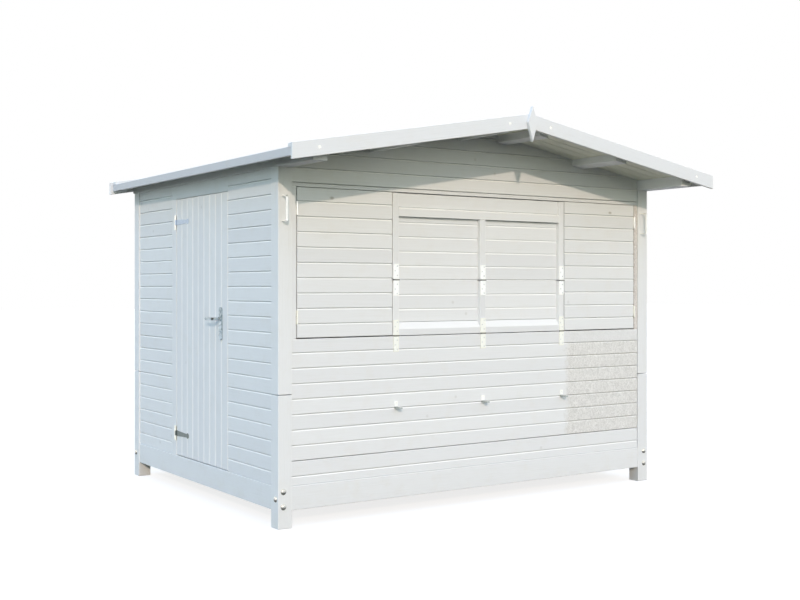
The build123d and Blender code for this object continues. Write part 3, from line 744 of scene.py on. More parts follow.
def white_paint_on_planed_softwood(name, colours, tones, patch):
    """Brushed white paint on planed softwood.

    The eye sees a satin white that differs a little from board to board, with the grain telegraphing
    through, a few grey knots, a painted highlight on the edges that face up and dust low down.
    """
    material, tree, shader = new_material(name)
    grain, rings, fibres, knots = wood_pattern(tree, PAINTED_RING, PAINTED_FIBRE)
    tone = add_node(tree, "Attribute", {"attribute_name": "tone"})
    edge = add_node(tree, "Attribute", {"attribute_name": "edge"})
    where = add_node(tree, "TexCoord")
    height = add_node(tree, "SeparateXYZ", {}, {"Vector": (where, "Object")})
    blotches = add_node(tree, "TexNoise", {},
                        {"Vector": (grain, "Vector"), "Scale": 1 / BLOTCH, "Detail": 4.0,
                         "Roughness": 0.62})
    stain = add_node(tree, "MapRange", {},
                     {"Value": (blotches, "Fac"), "From Min": 0.52, "From Max": 0.80, "To Max": 0.18})
    streak = add_node(tree, "MapRange", {},
                      {"Value": (fibres, "Fac"), "From Min": 0.50, "From Max": 0.85, "To Max": 0.26})
    bleed = add_node(tree, "Math", TIMES, {0: (knots, "Value"), 1: KNOT_BLEED})
    # Painted highlight on the bevels that face up, taken from the edge attribute.
    highlight = add_node(tree, "Math", TIMES, {0: (edge, "Fac"), 1: EDGE_HIGHLIGHT_COVER})
    low_down = add_node(tree, "MapRange", {},
                        {"Value": (height, "Z"), "From Min": 0.0, "From Max": SPLASH,
                         "To Min": 0.14, "To Max": 0.0})
    dust = add_node(tree, "Math", TIMES, {0: (low_down, "Result"), 1: (blotches, "Fac")})
    # What lies over the paint, from the lowest up, as its share and its colour
    coats = [((stain, "Result"), rgba(colours.paint_stain)), ((streak, "Result"), rgba(colours.primer)),
             ((bleed, "Value"), rgba(colours.knot))]
    coats += [(seen_knot(tree, where, place), rgba(colours.knot)) for place in KNOTS_SEEN]
    coats += [((highlight, "Value"), rgba(colours.paint_edge_highlight)), ((dust, "Value"), rgba(colours.dust))]
    if patch:
        coats.append(scuff_marks(tree, where, height, patch))
    paint = add_node(tree, "Mix", BLEND, {0: (tone, "Fac"), 6: rgba(tones[0]), 7: rgba(tones[1])})
    for share, over in coats:
        paint = add_node(tree, "Mix", BLEND, {0: share, 6: (paint, 2), 7: over})
    gloss = add_node(tree, "MapRange", {},
                     {"Value": (blotches, "Fac"), "From Min": 0.3, "From Max": 0.7,
                      "To Min": 0.46, "To Max": 0.64})
    relief = add_node(tree, "Math", TIMES_PLUS, {0: (fibres, "Fac"), 1: 0.55, 2: (rings, "Fac")})
    bump = add_node(tree, "Bump", {}, {"Height": (relief, "Value"), "Strength": 0.30, "Distance": 0.0006})
    tree.links.new(paint.outputs[2], shader.inputs["Base Color"])
    tree.links.new(gloss.outputs["Result"], shader.inputs["Roughness"])
    tree.links.new(bump.outputs["Normal"], shader.inputs["Normal"])
    return material


def seen_knot(tree, where, place):
    """Share of one dark knot that the photo shows, as a small oval on the board."""
    offset = add_node(tree, "VectorMath", {"operation": "SUBTRACT"}, {0: (where, "Object"), 1: place})
    oval = add_node(tree, "VectorMath", TIMES, {0: (offset, "Vector"), 1: (0.6, 0.1, 1.0)})
    away = add_node(tree, "VectorMath", {"operation": "LENGTH"}, {0: (oval, "Vector")})
    share = add_node(tree, "MapRange", {},
                     {"Value": (away, "Value"), "From Min": 0.004, "From Max": 0.012,
                      "To Min": 0.75, "To Max": 0.0})
    return share, "Result"


def scuff_marks(tree, where, height, patch):
    """Share and colour of the marks in a scuffed patch, which has a ragged edge and is fainter above."""
    start, low, high, dark, light = patch
    ragged = add_node(tree, "TexNoise", {},
                      {"Vector": (where, "Object"), "Scale": 1 / RAGGED_EDGE, "Detail": 2.0})
    across = add_node(tree, "Math", TIMES_PLUS, {0: (ragged, "Fac"), 1: 0.08, 2: (height, "X")})
    sideways = add_node(tree, "MapRange", {},
                        {"Value": (across, "Value"), "From Min": start + 0.03, "From Max": start + 0.08})
    above = add_node(tree, "MapRange", {},
                     {"Value": (height, "Z"), "From Min": low - 0.001, "From Max": low + 0.001})
    below = add_node(tree, "MapRange", {},
                     {"Value": (height, "Z"), "From Min": high - 0.001, "From Max": high + 0.001,
                      "To Min": 1.0, "To Max": 0.35})
    band = add_node(tree, "Math", TIMES, {0: (above, "Result"), 1: (below, "Result")})
    inside = add_node(tree, "Math", TIMES, {0: (band, "Value"), 1: (sideways, "Result")})
    share = add_node(tree, "Math", TIMES, {0: (inside, "Value"), 1: SCUFF_COVER})
    mottle = add_node(tree, "TexNoise", {},
                      {"Vector": (where, "Object"), "Scale": 1 / MOTTLE, "Detail": 3.0, "Roughness": 0.6,
                       "Distortion": 1.6})
    contrast = add_node(tree, "MapRange", {},
                        {"Value": (mottle, "Fac"), "From Min": 0.36, "From Max": 0.64})
    marks = add_node(tree, "Mix", BLEND, {0: (contrast, "Result"), 6: rgba(dark), 7: rgba(light)})
    return (share, "Value"), (marks, 2)


def bare_planed_pine(name, colours):
    """Bare planed pine: pale early wood between darker late wood, matt, with red-brown knots."""
    material, tree, shader = new_material(name)
    grain, rings, fibres, knots = wood_pattern(tree, PINE_RING, PINE_FIBRE)
    tone = add_node(tree, "Attribute", {"attribute_name": "tone"})
    figure = add_node(tree, "Math", TIMES_PLUS, {0: (rings, "Fac"), 1: 0.45, 2: (knots, "Value")})
    wood = add_node(tree, "Mix", BLEND,
                    {0: (figure, "Value"), 6: rgba(colours.pine_light), 7: rgba(colours.pine_dark)})
    shade = add_node(tree, "MapRange", {}, {"Value": (tone, "Fac"), "To Min": 0.88, "To Max": 1.06})
    toned = add_node(tree, "VectorMath", {"operation": "SCALE"}, {0: (wood, 2), "Scale": (shade, "Result")})
    gloss = add_node(tree, "MapRange", {}, {"Value": (fibres, "Fac"), "To Min": 0.55, "To Max": 0.80})
    bump = add_node(tree, "Bump", {}, {"Height": (fibres, "Fac"), "Strength": 0.35, "Distance": 0.0006})
    tree.links.new(toned.outputs["Vector"], shader.inputs["Base Color"])
    tree.links.new(gloss.outputs["Result"], shader.inputs["Roughness"])
    tree.links.new(bump.outputs["Normal"], shader.inputs["Normal"])
    return material


def mineral_bitumen_felt(name, colours):
    """Bitumen felt faced with mineral grit: dark, rough and speckled, with lighter washed areas."""
    material, tree, shader = new_material(name)
    where = add_node(tree, "TexCoord")
    grit = add_node(tree, "TexVoronoi", {}, {"Vector": (where, "Object"), "Scale": 1 / GRIT})
    wash = add_node(tree, "TexNoise", {},
                    {"Vector": (where, "Object"), "Scale": 1 / WASHED_AREA, "Detail": 5.0,
                     "Roughness": 0.6})
    cover = add_node(tree, "Math", TIMES_PLUS, {0: (wash, "Fac"), 1: 0.45, 2: 0.10})
    speckle = add_node(tree, "Math", TIMES_PLUS, {0: (grit, "Color"), 1: 0.75, 2: (cover, "Value")})
    spread = add_node(tree, "MapRange", {},
                      {"Value": (speckle, "Value"), "From Min": 0.25, "From Max": 1.05})
    mixed = add_node(tree, "Mix", BLEND,
                     {0: (spread, "Result"), 6: rgba(colours.felt), 7: rgba(colours.grit)})
    bump = add_node(tree, "Bump", {}, {"Height": (grit, "Distance"), "Strength": 0.6, "Distance": 0.001})
    shader.inputs["Roughness"].default_value = 0.92
    tree.links.new(mixed.outputs[2], shader.inputs["Base Color"])
    tree.links.new(bump.outputs["Normal"], shader.inputs["Normal"])
    return material


def plated_steel(name, bright, dull, roughness, low=None, painted_shade=None, pins=(), spots=()):
    """Pressed steel with a thin metal plating: bright, with cloudy dull places and fine rolling marks.

    Below a height the plating may have another colour, given as (colour, from, to). Painted shade lies in a
    thin dark line at each hinge pin or in round dark spots, or else on the faces that look down.
    """
    material, tree, shader = new_material(name)
    where = add_node(tree, "TexCoord")
    height = add_node(tree, "SeparateXYZ", {}, {"Vector": (where, "Object")})
    clouds = add_node(tree, "TexNoise", {},
                      {"Vector": (where, "Object"), "Scale": 1 / CLOUD, "Detail": 4.0, "Roughness": 0.6})
    rolled = add_node(tree, "Mapping", {}, {"Vector": (where, "Object"), "Scale": ROLLING_MARKS})
    marks = add_node(tree, "TexNoise", {}, {"Vector": (rolled, "Vector"), "Scale": 1.0, "Detail": 2.0})
    cloudy = add_node(tree, "MapRange", {}, {"Value": (clouds, "Fac"), "From Min": 0.38, "From Max": 0.68})
    coats = []
    if low:
        tint, start, end = low
        near_ground = add_node(tree, "MapRange", {},
                               {"Value": (height, "Z"), "From Min": start, "From Max": end,
                                "To Min": 1.0, "To Max": 0.0})
        coats.append((near_ground, tint))
    # Painted shade in a thin dark line at each hinge pin.
    for pin in pins:
        off = add_node(tree, "Math", {"operation": "SUBTRACT"}, {0: (height, "Z"), 1: pin})
        away = add_node(tree, "Math", {"operation": "ABSOLUTE"}, {0: (off, "Value")})
        line = add_node(tree, "MapRange", {},
                        {"Value": (away, "Value"), "From Min": 0.0018, "From Max": 0.0042,
                         "To Min": 0.85, "To Max": 0.0})
        coats.append((line, painted_shade))
    for place, radius in spots:
        near = add_node(tree, "VectorMath", {"operation": "DISTANCE"}, {0: (where, "Object"), 1: place})
        mark = add_node(tree, "MapRange", {},
                        {"Value": (near, "Value"), "From Min": 0.6 * radius, "From Max": radius,
                         "To Min": 0.9, "To Max": 0.0})
        coats.append((mark, painted_shade))
    # Painted shade on the faces that look down.
    if painted_shade and not pins and not spots:
        way = add_node(tree, "NewGeometry")
        tilt = add_node(tree, "SeparateXYZ", {}, {"Vector": (way, "Normal")})
        under = add_node(tree, "MapRange", {},
                         {"Value": (tilt, "Z"), "From Min": -0.30, "From Max": 0.45,
                          "To Min": 0.95, "To Max": 0.0})
        coats.append((under, painted_shade))
    plating = add_node(tree, "Mix", BLEND, {0: (cloudy, "Result"), 6: rgba(bright), 7: rgba(dull)})
    for share, tint in coats:
        plating = add_node(tree, "Mix", BLEND, {0: (share, "Result"), 6: (plating, 2), 7: rgba(tint)})
    gloss = add_node(tree, "MapRange", {},
                     {"Value": (clouds, "Fac"), "From Min": 0.3, "From Max": 0.7,
                      "To Min": roughness[0], "To Max": roughness[1]})
    bump = add_node(tree, "Bump", {}, {"Height": (marks, "Fac"), "Strength": 0.12, "Distance": 0.0002})
    shader.inputs["Metallic"].default_value = 1.0
    tree.links.new(plating.outputs[2], shader.inputs["Base Color"])
    tree.links.new(gloss.outputs["Result"], shader.inputs["Roughness"])
    tree.links.new(bump.outputs["Normal"], shader.inputs["Normal"])
    return material


def paint_tones(key, scene):
    """The two tones of a painted finish, and its scuffed patch or its marked jamb if it has one."""
    colours = scene.hut_colours
    boards = scene.hut_boards
    first = wall_low.z + boards.first_front
    scuff_heights = [first + count * boards.cover for count in SCUFF_JOINTS]
    tones = {
        SOFFIT_WARM_SHADE: (colours.paint_warm_shade, colours.paint_warm_shade),
        FASCIA_GREY: (colours.paint_fascia_grey, colours.paint_fascia_grey),
    }
    patches = {
        SCUFFED: (SCUFF_START, *scuff_heights, colours.scuff_dark, colours.scuff_light),
        JAMB_MARKED: (JAMB_MARK_START, *JAMB_MARK_HEIGHTS, colours.jamb_mark_dark, colours.jamb_mark_light),
    }
    return tones.get(key, (colours.paint, colours.paint_dull)), patches.get(key)


def plating_look(key, colours):
    """The colours, roughness and marks of a plated finish."""
    zinc = {"bright": colours.zinc, "dull": colours.zinc_dull, "roughness": BRIGHT_GLOSS}
    # Painted shade: a dark line at the flap's hinge pins and dark spots at the levers' spindle and bend.
    pins = [JOINT_PLACES[joint].z for joint in ("counter_fold", "prop_fold")]
    spindle = lever_place(leaf_low.x - HUT_OT_lever.SHADE_SPOT_RISE)
    spots = zip((spindle, spindle + HUT_OT_lever.SHADE_SPOT_BEND), HUT_OT_lever.SHADE_SPOT_RADII)
    looks = {
        ZINC: {**zinc, "low": (colours.zinc_low, *ZINC_CHANGE), "painted_shade": colours.painted_shade, "pins": pins},
        HOOK_ZINC: {**zinc, "low": (colours.hook_low, *HOOK_CHANGE)},
        BOLT_ZINC: {**zinc, "painted_shade": colours.painted_shade},
        SCREW_ZINC: {"bright": colours.screw, "dull": colours.screw_dull, "roughness": DULL_GLOSS},
        # The upper door strap's blue is a painted reflection of the sky.
        STRAP_ZINC: {"bright": colours.strap, "dull": colours.strap, "roughness": DULL_GLOSS,
                     "low": (colours.strap_low, *STRAP_CHANGE)},
        GALVANISED: {"bright": colours.galvanised, "dull": colours.galvanised_dull,
                     "roughness": DULL_GLOSS},
        NICKEL: {"bright": colours.nickel, "dull": colours.nickel_dull, "roughness": SATIN_GLOSS,
                 "painted_shade": colours.painted_shade, "spots": list(spots)},
    }
    return looks[key]


def hut_material(key):
    """One of the hut's materials, made the first time that it is asked for."""
    scene = bpy.context.scene
    if key in bpy.data.materials:
        return bpy.data.materials[key]
    if key == PINE:
        return bare_planed_pine(key, scene.hut_colours)
    if key == FELT:
        return mineral_bitumen_felt(key, scene.hut_colours)
    if key.endswith(PAINT):
        return white_paint_on_planed_softwood(key, scene.hut_colours, *paint_tones(key, scene))
    return plated_steel(key, **plating_look(key, scene.hut_colours))


def plate_node(node, material):
    """Gives a node of the frame, which the scene keeps as it is, a plated finish."""
    materials = frame["nodes"][node].data.materials
    materials.clear()
    materials.append(hut_material(material))


def finish_wood(pile, body, nodes, material=PAINT, slot="white_boards"):
    """Makes a wooden piece from a pile."""
    pile.finish(body, slot, hut_material(material), nodes)


def finish_metal(pile, body, material=ZINC, nodes=()):
    """Makes a metal piece from a pile."""
    pile.finish(body, "zinc_steel", hut_material(material), nodes, smooth=True)


# Operators

class HUT_OT_frame(bpy.types.Operator):
    """Makes the posts, sills and roof timbers with eased edges"""

    bl_idname = "hut.frame"
    bl_label = "Posts, sills and roof timbers"

    def execute(self, context):
        boards = context.scene.hut_boards
        groups = {
            "sill_timbers": ("front_sill", "rear_sill", "side_sills"),
            "purlin_timbers": ("eave_beams", "mid_purlins", "ridge_purlin"),
            "hatch_surround": ("hatch_rail", "hatch_head"),
            "hatch_sides": ("hatch_jambs",),
            "door_frame": ("door_jambs",),
        }
        for seed, (name, nodes) in enumerate(groups.items()):
            pile = Pile(name, seed)
            add_eased(pile, nodes, boards.ease)
            finish_wood(pile, "hut", nodes, JAMB_MARKED if name == "hatch_sides" else PAINT)
        pile = Pile("post_timbers", 8)
        for node, side in (("lower_posts", UP), ("upper_posts", -UP)):
            for piece in ordered_pieces(node):
                trim(piece, foot_high.z * UP - side * boards.open_joint / 2, side)
                narrow = ease(piece, boards.ease)
                pile.add(piece, Run(UP, RIGHT, REAR, 0), narrow)
        finish_wood(pile, "hut", ("lower_posts", "upper_posts"))
        return {"FINISHED"}


class HUT_OT_walls(bpy.types.Operator):
    """Boards the front, rear and side walls"""

    bl_idname = "hut.walls"
    bl_label = "Wall boards"

    def execute(self, context):
        boards = context.scene.hut_boards
        thickness = wall_high.y - wall_low.y
        across = (-INNER_X, INNER_X - boards.end_gap)
        base = wall_low.z
        bottom = base + boards.sill_gap

        pile = Pile("front_wall_boards", 11)
        first = base + boards.first_front
        parting = first + boards.cover
        lower = [bottom, first, parting - boards.open_joint / 2]
        upper = row_joints(parting + boards.open_joint / 2, wall_high.z, first, boards.cover)
        lay_boards(pile, FRONT, across, lower, thickness, boards)
        lay_boards(pile, FRONT, across, upper, thickness, boards)
        finish_wood(pile, "hut", ("front_lower_wall",), SCUFFED)

        slopes = [(RIDGE * UP, slope(side)[1]) for side in (-1, 1)]
        for name, node, run, low, seed in (
            ("front_gable_boards", "front_gable", FRONT, gable_low.z + boards.head_gap, 12),
            ("rear_wall_boards", "rear_wall", BACK, bottom, 13),
        ):
            pile = Pile(name, seed)
            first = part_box(node)[0].z
            joints = row_joints(low, RIDGE, first, boards.cover)
            lay_boards(pile, run, across, joints, thickness, boards, slopes)
            finish_wood(pile, "hut", (node,))

        for name, node, run, seed in (
            ("left_front_boards", "left_wall_front", LEFT, 14),
            ("left_rear_boards", "left_wall_rear", LEFT, 15),
            ("door_head_boards", "left_wall_header", LEFT, 16),
            ("right_wall_boards", "right_wall", RIGHT_SIDE, 17),
        ):
            low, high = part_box(node)
            pile = Pile(name, seed)
            start = bottom if low.z < bottom else low.z
            joints = row_joints(start, high.z, base + boards.first_side, boards.cover)
            # What is over the door is too low for two boards.
            if high.z - low.z < 1.5 * boards.cover:
                joints = [low.z, high.z]
            lay_boards(pile, run, (low.y, high.y), joints, thickness, boards)
            finish_wood(pile, "hut", (node,))
        return {"FINISHED"}


class HUT_OT_floor(bpy.types.Operator):
    """Lays the bare floor boards on their joists"""

    bl_idname = "hut.floor"
    bl_label = "Floor"

    def execute(self, context):
        boards = context.scene.hut_boards
        pile = Pile("floor_boards", 21)
        rows = round((floor_high.y - floor_low.y) / boards.floor_cover)
        cover = (floor_high.y - floor_low.y) / rows
        for row in range(rows):
            reach = INNER_X if row in (0, rows - 1) else floor_high.x
            low = floor_low.y + row * cover + boards.slit / 2
            corner = (-reach, low, floor_low.z)
            opposite = (reach, low + cover - boards.slit, floor_high.z)
            add_beam(pile, corner, opposite, RIGHT, boards.ease / 2)
        finish_wood(pile, "hut", ("floor_deck",), PINE, "bare_boards")
        pile = Pile("joist_timbers", 22)
        add_eased(pile, ("floor_joists",), boards.ease)
        finish_wood(pile, "hut", ("floor_joists",), PINE, "bare_boards")
        return {"FINISHED"}


class HUT_OT_roof_boards(bpy.types.Operator):
    """Boards both slopes of the roof, with the joints on the underside"""

    bl_idname = "hut.roof_boards"
    bl_label = "Roof boards"

    def execute(self, context):
        boards = context.scene.hut_boards
        thickness = (deck_high.z - RIDGE) * ROOF_COS
        rows = round((deck_high.y - deck_low.y) / boards.deck_cover)
        cover = (deck_high.y - deck_low.y) / rows
        joints = [deck_low.y + row * cover for row in range(rows + 1)]
        ridge = -RIDGE * ROOF_SIN
        eave = ridge + deck_high.x / ROOF_COS
        span = (ridge - 2 * thickness, eave + 2 * thickness)
        bevels = [(boards.deck_chamfer, boards.deck_chamfer_depth)] * 2
        for side, hand in ((-1, "left"), (1, "right")):
            along, normal = slope(side)
            run = Run(along, REAR, -normal, -RIDGE * ROOF_COS)
            cuts = [(Vector(), -side * RIGHT), (side * deck_high.x * RIGHT, side * RIGHT)]
            pile = Pile(f"{hand}_roof_boards", 30 + side)
            lay_boards(pile, run, span, joints, thickness, boards, cuts, bevels)
            # The roof boards take the yellow-tinted paint, a painted warm bounce light in the shade.
            finish_wood(pile, "hut", (f"{hand}_roof_deck",), SOFFIT_WARM_SHADE)
        return {"FINISHED"}


class HUT_OT_roof_felt(bpy.types.Operator):
    """Covers the roof with lapped strips of nailed felt"""

    bl_idname = "hut.roof_felt"
    bl_label = "Roof felt"

    def execute(self, context):
        roofing = context.scene.hut_roofing
        fittings = context.scene.hut_fittings
        felt = Pile("felt_strips", 41)
        nails = Pile("felt_nails", 42)
        deck_top = (deck_high.z - RIDGE) * ROOF_COS
        eave = (felt_high.x - roofing.setback) / ROOF_COS
        span = (deck_low.y + fittings.nail_radius / 2, deck_high.y - fittings.nail_radius / 2)
        ridge = -RIDGE * ROOF_SIN
        for side in (-1, 1):
            run = Run(REAR, *slope(side), RIDGE * ROOF_COS)
            lower = eave
            while lower > roofing.lap:
                upper = max(lower - roofing.course, 0.0)
                self.lay(felt, run, span, ridge + upper, ridge + lower, deck_top, roofing, lower < eave)
                self.nail(nails, run, ridge + lower, deck_top, roofing, fittings, lower < eave)
                lower = upper + roofing.lap if upper > 0 else 0
        self.cap(felt, span, deck_top, roofing)
        felt.finish("hut", "roof_felt", hut_material(FELT), ("roof_felt",))
        finish_metal(nails, "hut", GALVANISED)
        return {"FINISHED"}

    def lay(self, pile, run, span, upper, lower, deck_top, roofing, lapped):
        """One strip: it lies on the boards at its top edge and on the strip below at its lower edge."""
        lift = roofing.thickness if lapped else 0.0
        bend = lower - roofing.lap
        below = [(upper, -deck_top), (bend, -deck_top), (bend + roofing.lap / 4, -deck_top - lift),
                 (lower, -deck_top - lift)]
        above = [(across, depth - roofing.thickness) for across, depth in below[::-1]]
        pile.add(prism(below + above, run, span), run)

    def nail(self, pile, run, lower, deck_top, roofing, fittings, lapped):
        """A row of nails near the lower edge of a strip."""
        lift = roofing.thickness * (2 if lapped else 1)
        radius = fittings.nail_radius
        profile = scaled(NAIL_HEAD, radius, radius)
        inset = 4 * radius
        count = int((deck_high.y - deck_low.y - 2 * batten_width()) / fittings.nail_spacing)
        first = -count * fittings.nail_spacing / 2
        for index in range(count + 1):
            point = spot(run, first + index * fittings.nail_spacing, lower - inset, -deck_top - lift)
            pile.add(turned(profile, facing(point, run.out, REAR), 8))

    def cap(self, pile, span, deck_top, roofing):
        """The ridge strip, bent over both slopes."""
        reach = roofing.cap * ROOF_COS
        outlines = []
        for layers in (1, 2):
            peak = RIDGE + (deck_top + layers * roofing.thickness) / ROOF_COS
            edge = peak - reach * ROOF_TAN
            outlines.append([(-reach, -edge), (0, -peak), (reach, -edge)])
        run = Run(REAR, RIGHT, UP, 0)
        pile.add(prism(outlines[0] + outlines[1][::-1], run, span), run)


def batten_width():
    """Width of the battens along the verges."""
    loose = ordered_pieces("right_verge_battens")
    reach = [vert.co.y for vert in loose[0].verts]
    for piece in loose:
        piece.free()
    return max(reach) - min(reach)


class HUT_OT_roof_trim(bpy.types.Operator):
    """Makes the bargeboards with their screws, the verge battens, the fascias and the finials"""

    bl_idname = "hut.roof_trim"
    bl_label = "Roof trim"

    # From the ridge out to the two screws in each bargeboard
    SCREW_PLACES = (0.163, 1.493)

    def execute(self, context):
        boards = context.scene.hut_boards
        fittings = context.scene.hut_fittings
        groups = {
            "bargeboard_timbers": ("left_bargeboards", "right_bargeboards"),
            "verge_timbers": ("left_verge_battens", "right_verge_battens"),
        }
        for seed, (name, nodes) in enumerate(groups.items(), 50):
            pile = Pile(name, seed)
            add_eased(pile, nodes, boards.ease)
            finish_wood(pile, "hut", nodes)
        self.fascias(context)
        pile = Pile("finial_plates", 53)
        for piece in ordered_pieces("finials"):
            ease(piece, boards.ease)
            pile.add(piece, Run(UP, RIGHT, REAR, 0), ())
        finish_wood(pile, "hut", ("finials",))
        pile = Pile("bargeboard_screws", 58)
        top = barge_high.z
        middle = (top - (barge_low.z + barge_high.x * ROOF_TAN)) / 2
        for side in (-1, 1):
            for place in self.SCREW_PLACES:
                z = top - place * ROOF_TAN - middle
                for y, outward in ((barge_low.y, -REAR), (barge_high.y, REAR)):
                    seat = facing(Vector((side * place, y, z)), outward)
                    add_bolt(pile, seat, fittings.cover_screw_radius, fittings.cover_screw_height)
        finish_metal(pile, "hut")
        return {"FINISHED"}

    def fascias(self, context):
        """The two eave fascias, which stand up over the edge of the felt."""
        roofing = context.scene.hut_roofing
        pile = Pile("fascia_timbers", 52)
        for piece in ordered_pieces("eave_fascias"):
            heights = [vert.co.z for vert in piece.verts]
            middle = (min(heights) + max(heights)) / 2
            for vert in piece.verts:
                vert.co.z += roofing.fascia_rise if vert.co.z > middle else roofing.fascia_lift
            narrow = ease(piece, context.scene.hut_boards.ease)
            pile.add(piece, Run(REAR, UP, RIGHT, 0), narrow)
        finish_wood(pile, "hut", ("eave_fascias",), FASCIA_GREY)


class HUT_OT_shutters(bpy.types.Operator):
    """Boards the two shutters and screws their battens on"""

    bl_idname = "hut.shutters"
    bl_label = "Shutters"

    # Places of the screws, as shares of a batten's length
    SCREW_SHARES = (0.06, 0.35, 0.65, 0.94)

    def execute(self, context):
        boards = context.scene.hut_boards
        flap = context.scene.hut_flap
        fittings = context.scene.hut_fittings
        for seed, node in enumerate(("left_shutter", "right_shutter"), 61):
            low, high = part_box(node)
            hinge_low, hinge_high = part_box(node + "_hinges")
            pile = Pile(node + "_boards", seed)
            joints = row_joints(low.z, high.z + boards.lip, boards.shutter_joint, boards.cover)
            lay_boards(pile, FRONT, (low.x, high.x), joints, flap.shutter_boards, boards)
            screws = Pile(node + "_screws", seed)
            half = fittings.butt_height / 2
            rise = flap.batten_width / 2
            first = low.x + flap.batten_edge
            last = high.x - flap.batten_edge
            for middle in (hinge_low.z + half, hinge_high.z - half):
                start = (first, low.y + flap.shutter_boards, middle - rise)
                end = (last, high.y, middle + rise)
                add_beam(pile, start, end, RIGHT, boards.ease)
                for share in self.SCREW_SHARES:
                    lift = (1 if share < 0.5 else -1) * flap.batten_width / 5
                    point = Vector((first + share * (last - first), high.y, middle + lift))
                    add_screw(screws, facing(point, REAR), fittings.screw_radius)
            finish_wood(pile, node, (node,))
            finish_metal(screws, node)
        return {"FINISHED"}


class HUT_OT_flap(bpy.types.Operator):
    """Makes the frames and boarded panels of the counter leaf and the propping leaf"""

    bl_idname = "hut.flap"
    bl_label = "Counter flap"

    # Share of painted highlight on the sloped bottom rail
    BOTTOM_RAIL_HIGHLIGHT = 0.45
    # Lips by which the counter leaf's panels reach up into the gap between the leaves
    PANEL_LIPS = 1.3

    def execute(self, context):
        boards = context.scene.hut_boards
        flap = context.scene.hut_flap
        face, back = counter_low.y, counter_high.y
        depth = back - face
        half = flap.stile / 2
        inner = counter_high.x - flap.stile
        uprights = stile_middles(flap)
        fields = ((-inner, -half), (half, inner))
        panel = Run(RIGHT, UP, -REAR, FRONT.face - flap.recess)
        panel_thickness = depth - flap.recess
        panel_low, panel_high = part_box("counter_panels")
        rail_top = prop_high.z - flap.top_board
        rail_base = rail_top - flap.top_rail

        pile = Pile("counter_leaf_frame", 71)
        foot = counter_low.z - boards.lip / 2
        for x in uprights:
            add_beam(pile, (x - half, face, foot), (x + half, back, counter_high.z), UP, boards.ease)
        crest = panel_low.z - flap.rail_gap
        rail = [(foot, 0), (counter_low.z + flap.bottom_rail, 0), (crest, flap.recess), (crest, depth),
                (foot, depth)]
        for span in fields:
            self.rail(pile, rail, span, boards, self.BOTTOM_RAIL_HIGHLIGHT)
        finish_wood(pile, "counter", ("counter_frame",))

        pile = Pile("counter_leaf_panels", 72)
        panel_top = panel_high.z + self.PANEL_LIPS * boards.lip
        joints = row_joints(panel_low.z, panel_top, boards.flap_joint, boards.cover)
        for span in fields:
            lay_boards(pile, panel, span, joints, panel_thickness, boards)
        finish_wood(pile, "counter", ("counter_panels",))

        pile = Pile("prop_leaf_frame", 73)
        crown = prop_high.z + boards.lip / 2
        for x, top in zip(uprights, (crown, rail_base, crown)):
            add_beam(pile, (x - half, face, prop_low.z), (x + half, back, top), UP, boards.ease)
        crest = rail_top + flap.rail_bevel / 2
        rail = [(rail_base, 0), (crest - flap.rail_bevel, 0), (crest, flap.rail_bevel), (crest, depth),
                (rail_base, depth)]
        self.rail(pile, rail, (-inner, inner), boards, 1.0)
        finish_wood(pile, "prop", ("prop_frame",))

        pile = Pile("prop_leaf_panels", 74)
        joints = row_joints(prop_low.z, rail_base - flap.rail_gap, boards.flap_joint, boards.cover)
        for span in fields:
            lay_boards(pile, panel, span, joints, panel_thickness, boards)
        top_board = Run(RIGHT, UP, -REAR, FRONT.face - flap.top_recess)
        joints = [crest + flap.rail_gap, crown]
        lay_boards(pile, top_board, (-inner, inner), joints, depth - flap.top_recess, boards)
        finish_wood(pile, "prop", ("prop_panels",))
        return {"FINISHED"}

    def rail(self, pile, section, span, boards, highlight):
        """One rail, with a share of painted highlight on the bevel that faces up."""
        piece = prism(section, FRONT, span)
        narrow = ease(piece, boards.ease / 2)
        sloped = {face for face in piece.faces if 0.1 < face.normal.z < SQUARE_FACE}
        pile.add(piece, FRONT, narrow | sloped, highlight)


class HUT_OT_door(bpy.types.Operator):
    """Boards the door and fixes its ledges and diagonal"""

    bl_idname = "hut.door"
    bl_label = "Door"

    def execute(self, context):
        boards = context.scene.hut_boards
        fittings = context.scene.hut_fittings
        pile = Pile("door_boards", 81)
        cover = (leaf_high.y - leaf_low.y) / boards.door_boards
        joints = [leaf_low.y + index * cover for index in range(boards.door_boards + 1)]
        span = (leaf_low.z, leaf_high.z + boards.lip)
        bevels = [(boards.door_chamfer, boards.door_chamfer_depth)] * 2
        lay_boards(pile, DOOR, span, joints, leaf_high.x - leaf_low.x, boards, bevels=bevels)
        finish_wood(pile, "door", ("door_leaf",))
        pile = Pile("door_braces", 82)
        add_eased(pile, ("door_ledges", "door_diagonal"), boards.ease)
        finish_wood(pile, "door", ("door_ledges", "door_diagonal"))
        pile = Pile("door_brace_screws", 83)
        ledge_low, ledge_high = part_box("door_ledges")
        ledge_half = (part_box("door_diagonal")[0].z - ledge_low.z) / 2
        for middle in (ledge_low.z + ledge_half, ledge_high.z - ledge_half):
            for index in range(1, boards.door_boards - 1):
                y = leaf_low.y + (index + 0.5) * cover
                lift = (1 if index % 2 else -1) * ledge_half / 2
                point = Vector((ledge_high.x, y, middle + lift))
                add_screw(pile, facing(point, RIGHT), fittings.screw_radius)
        finish_metal(pile, "door")
        return {"FINISHED"}


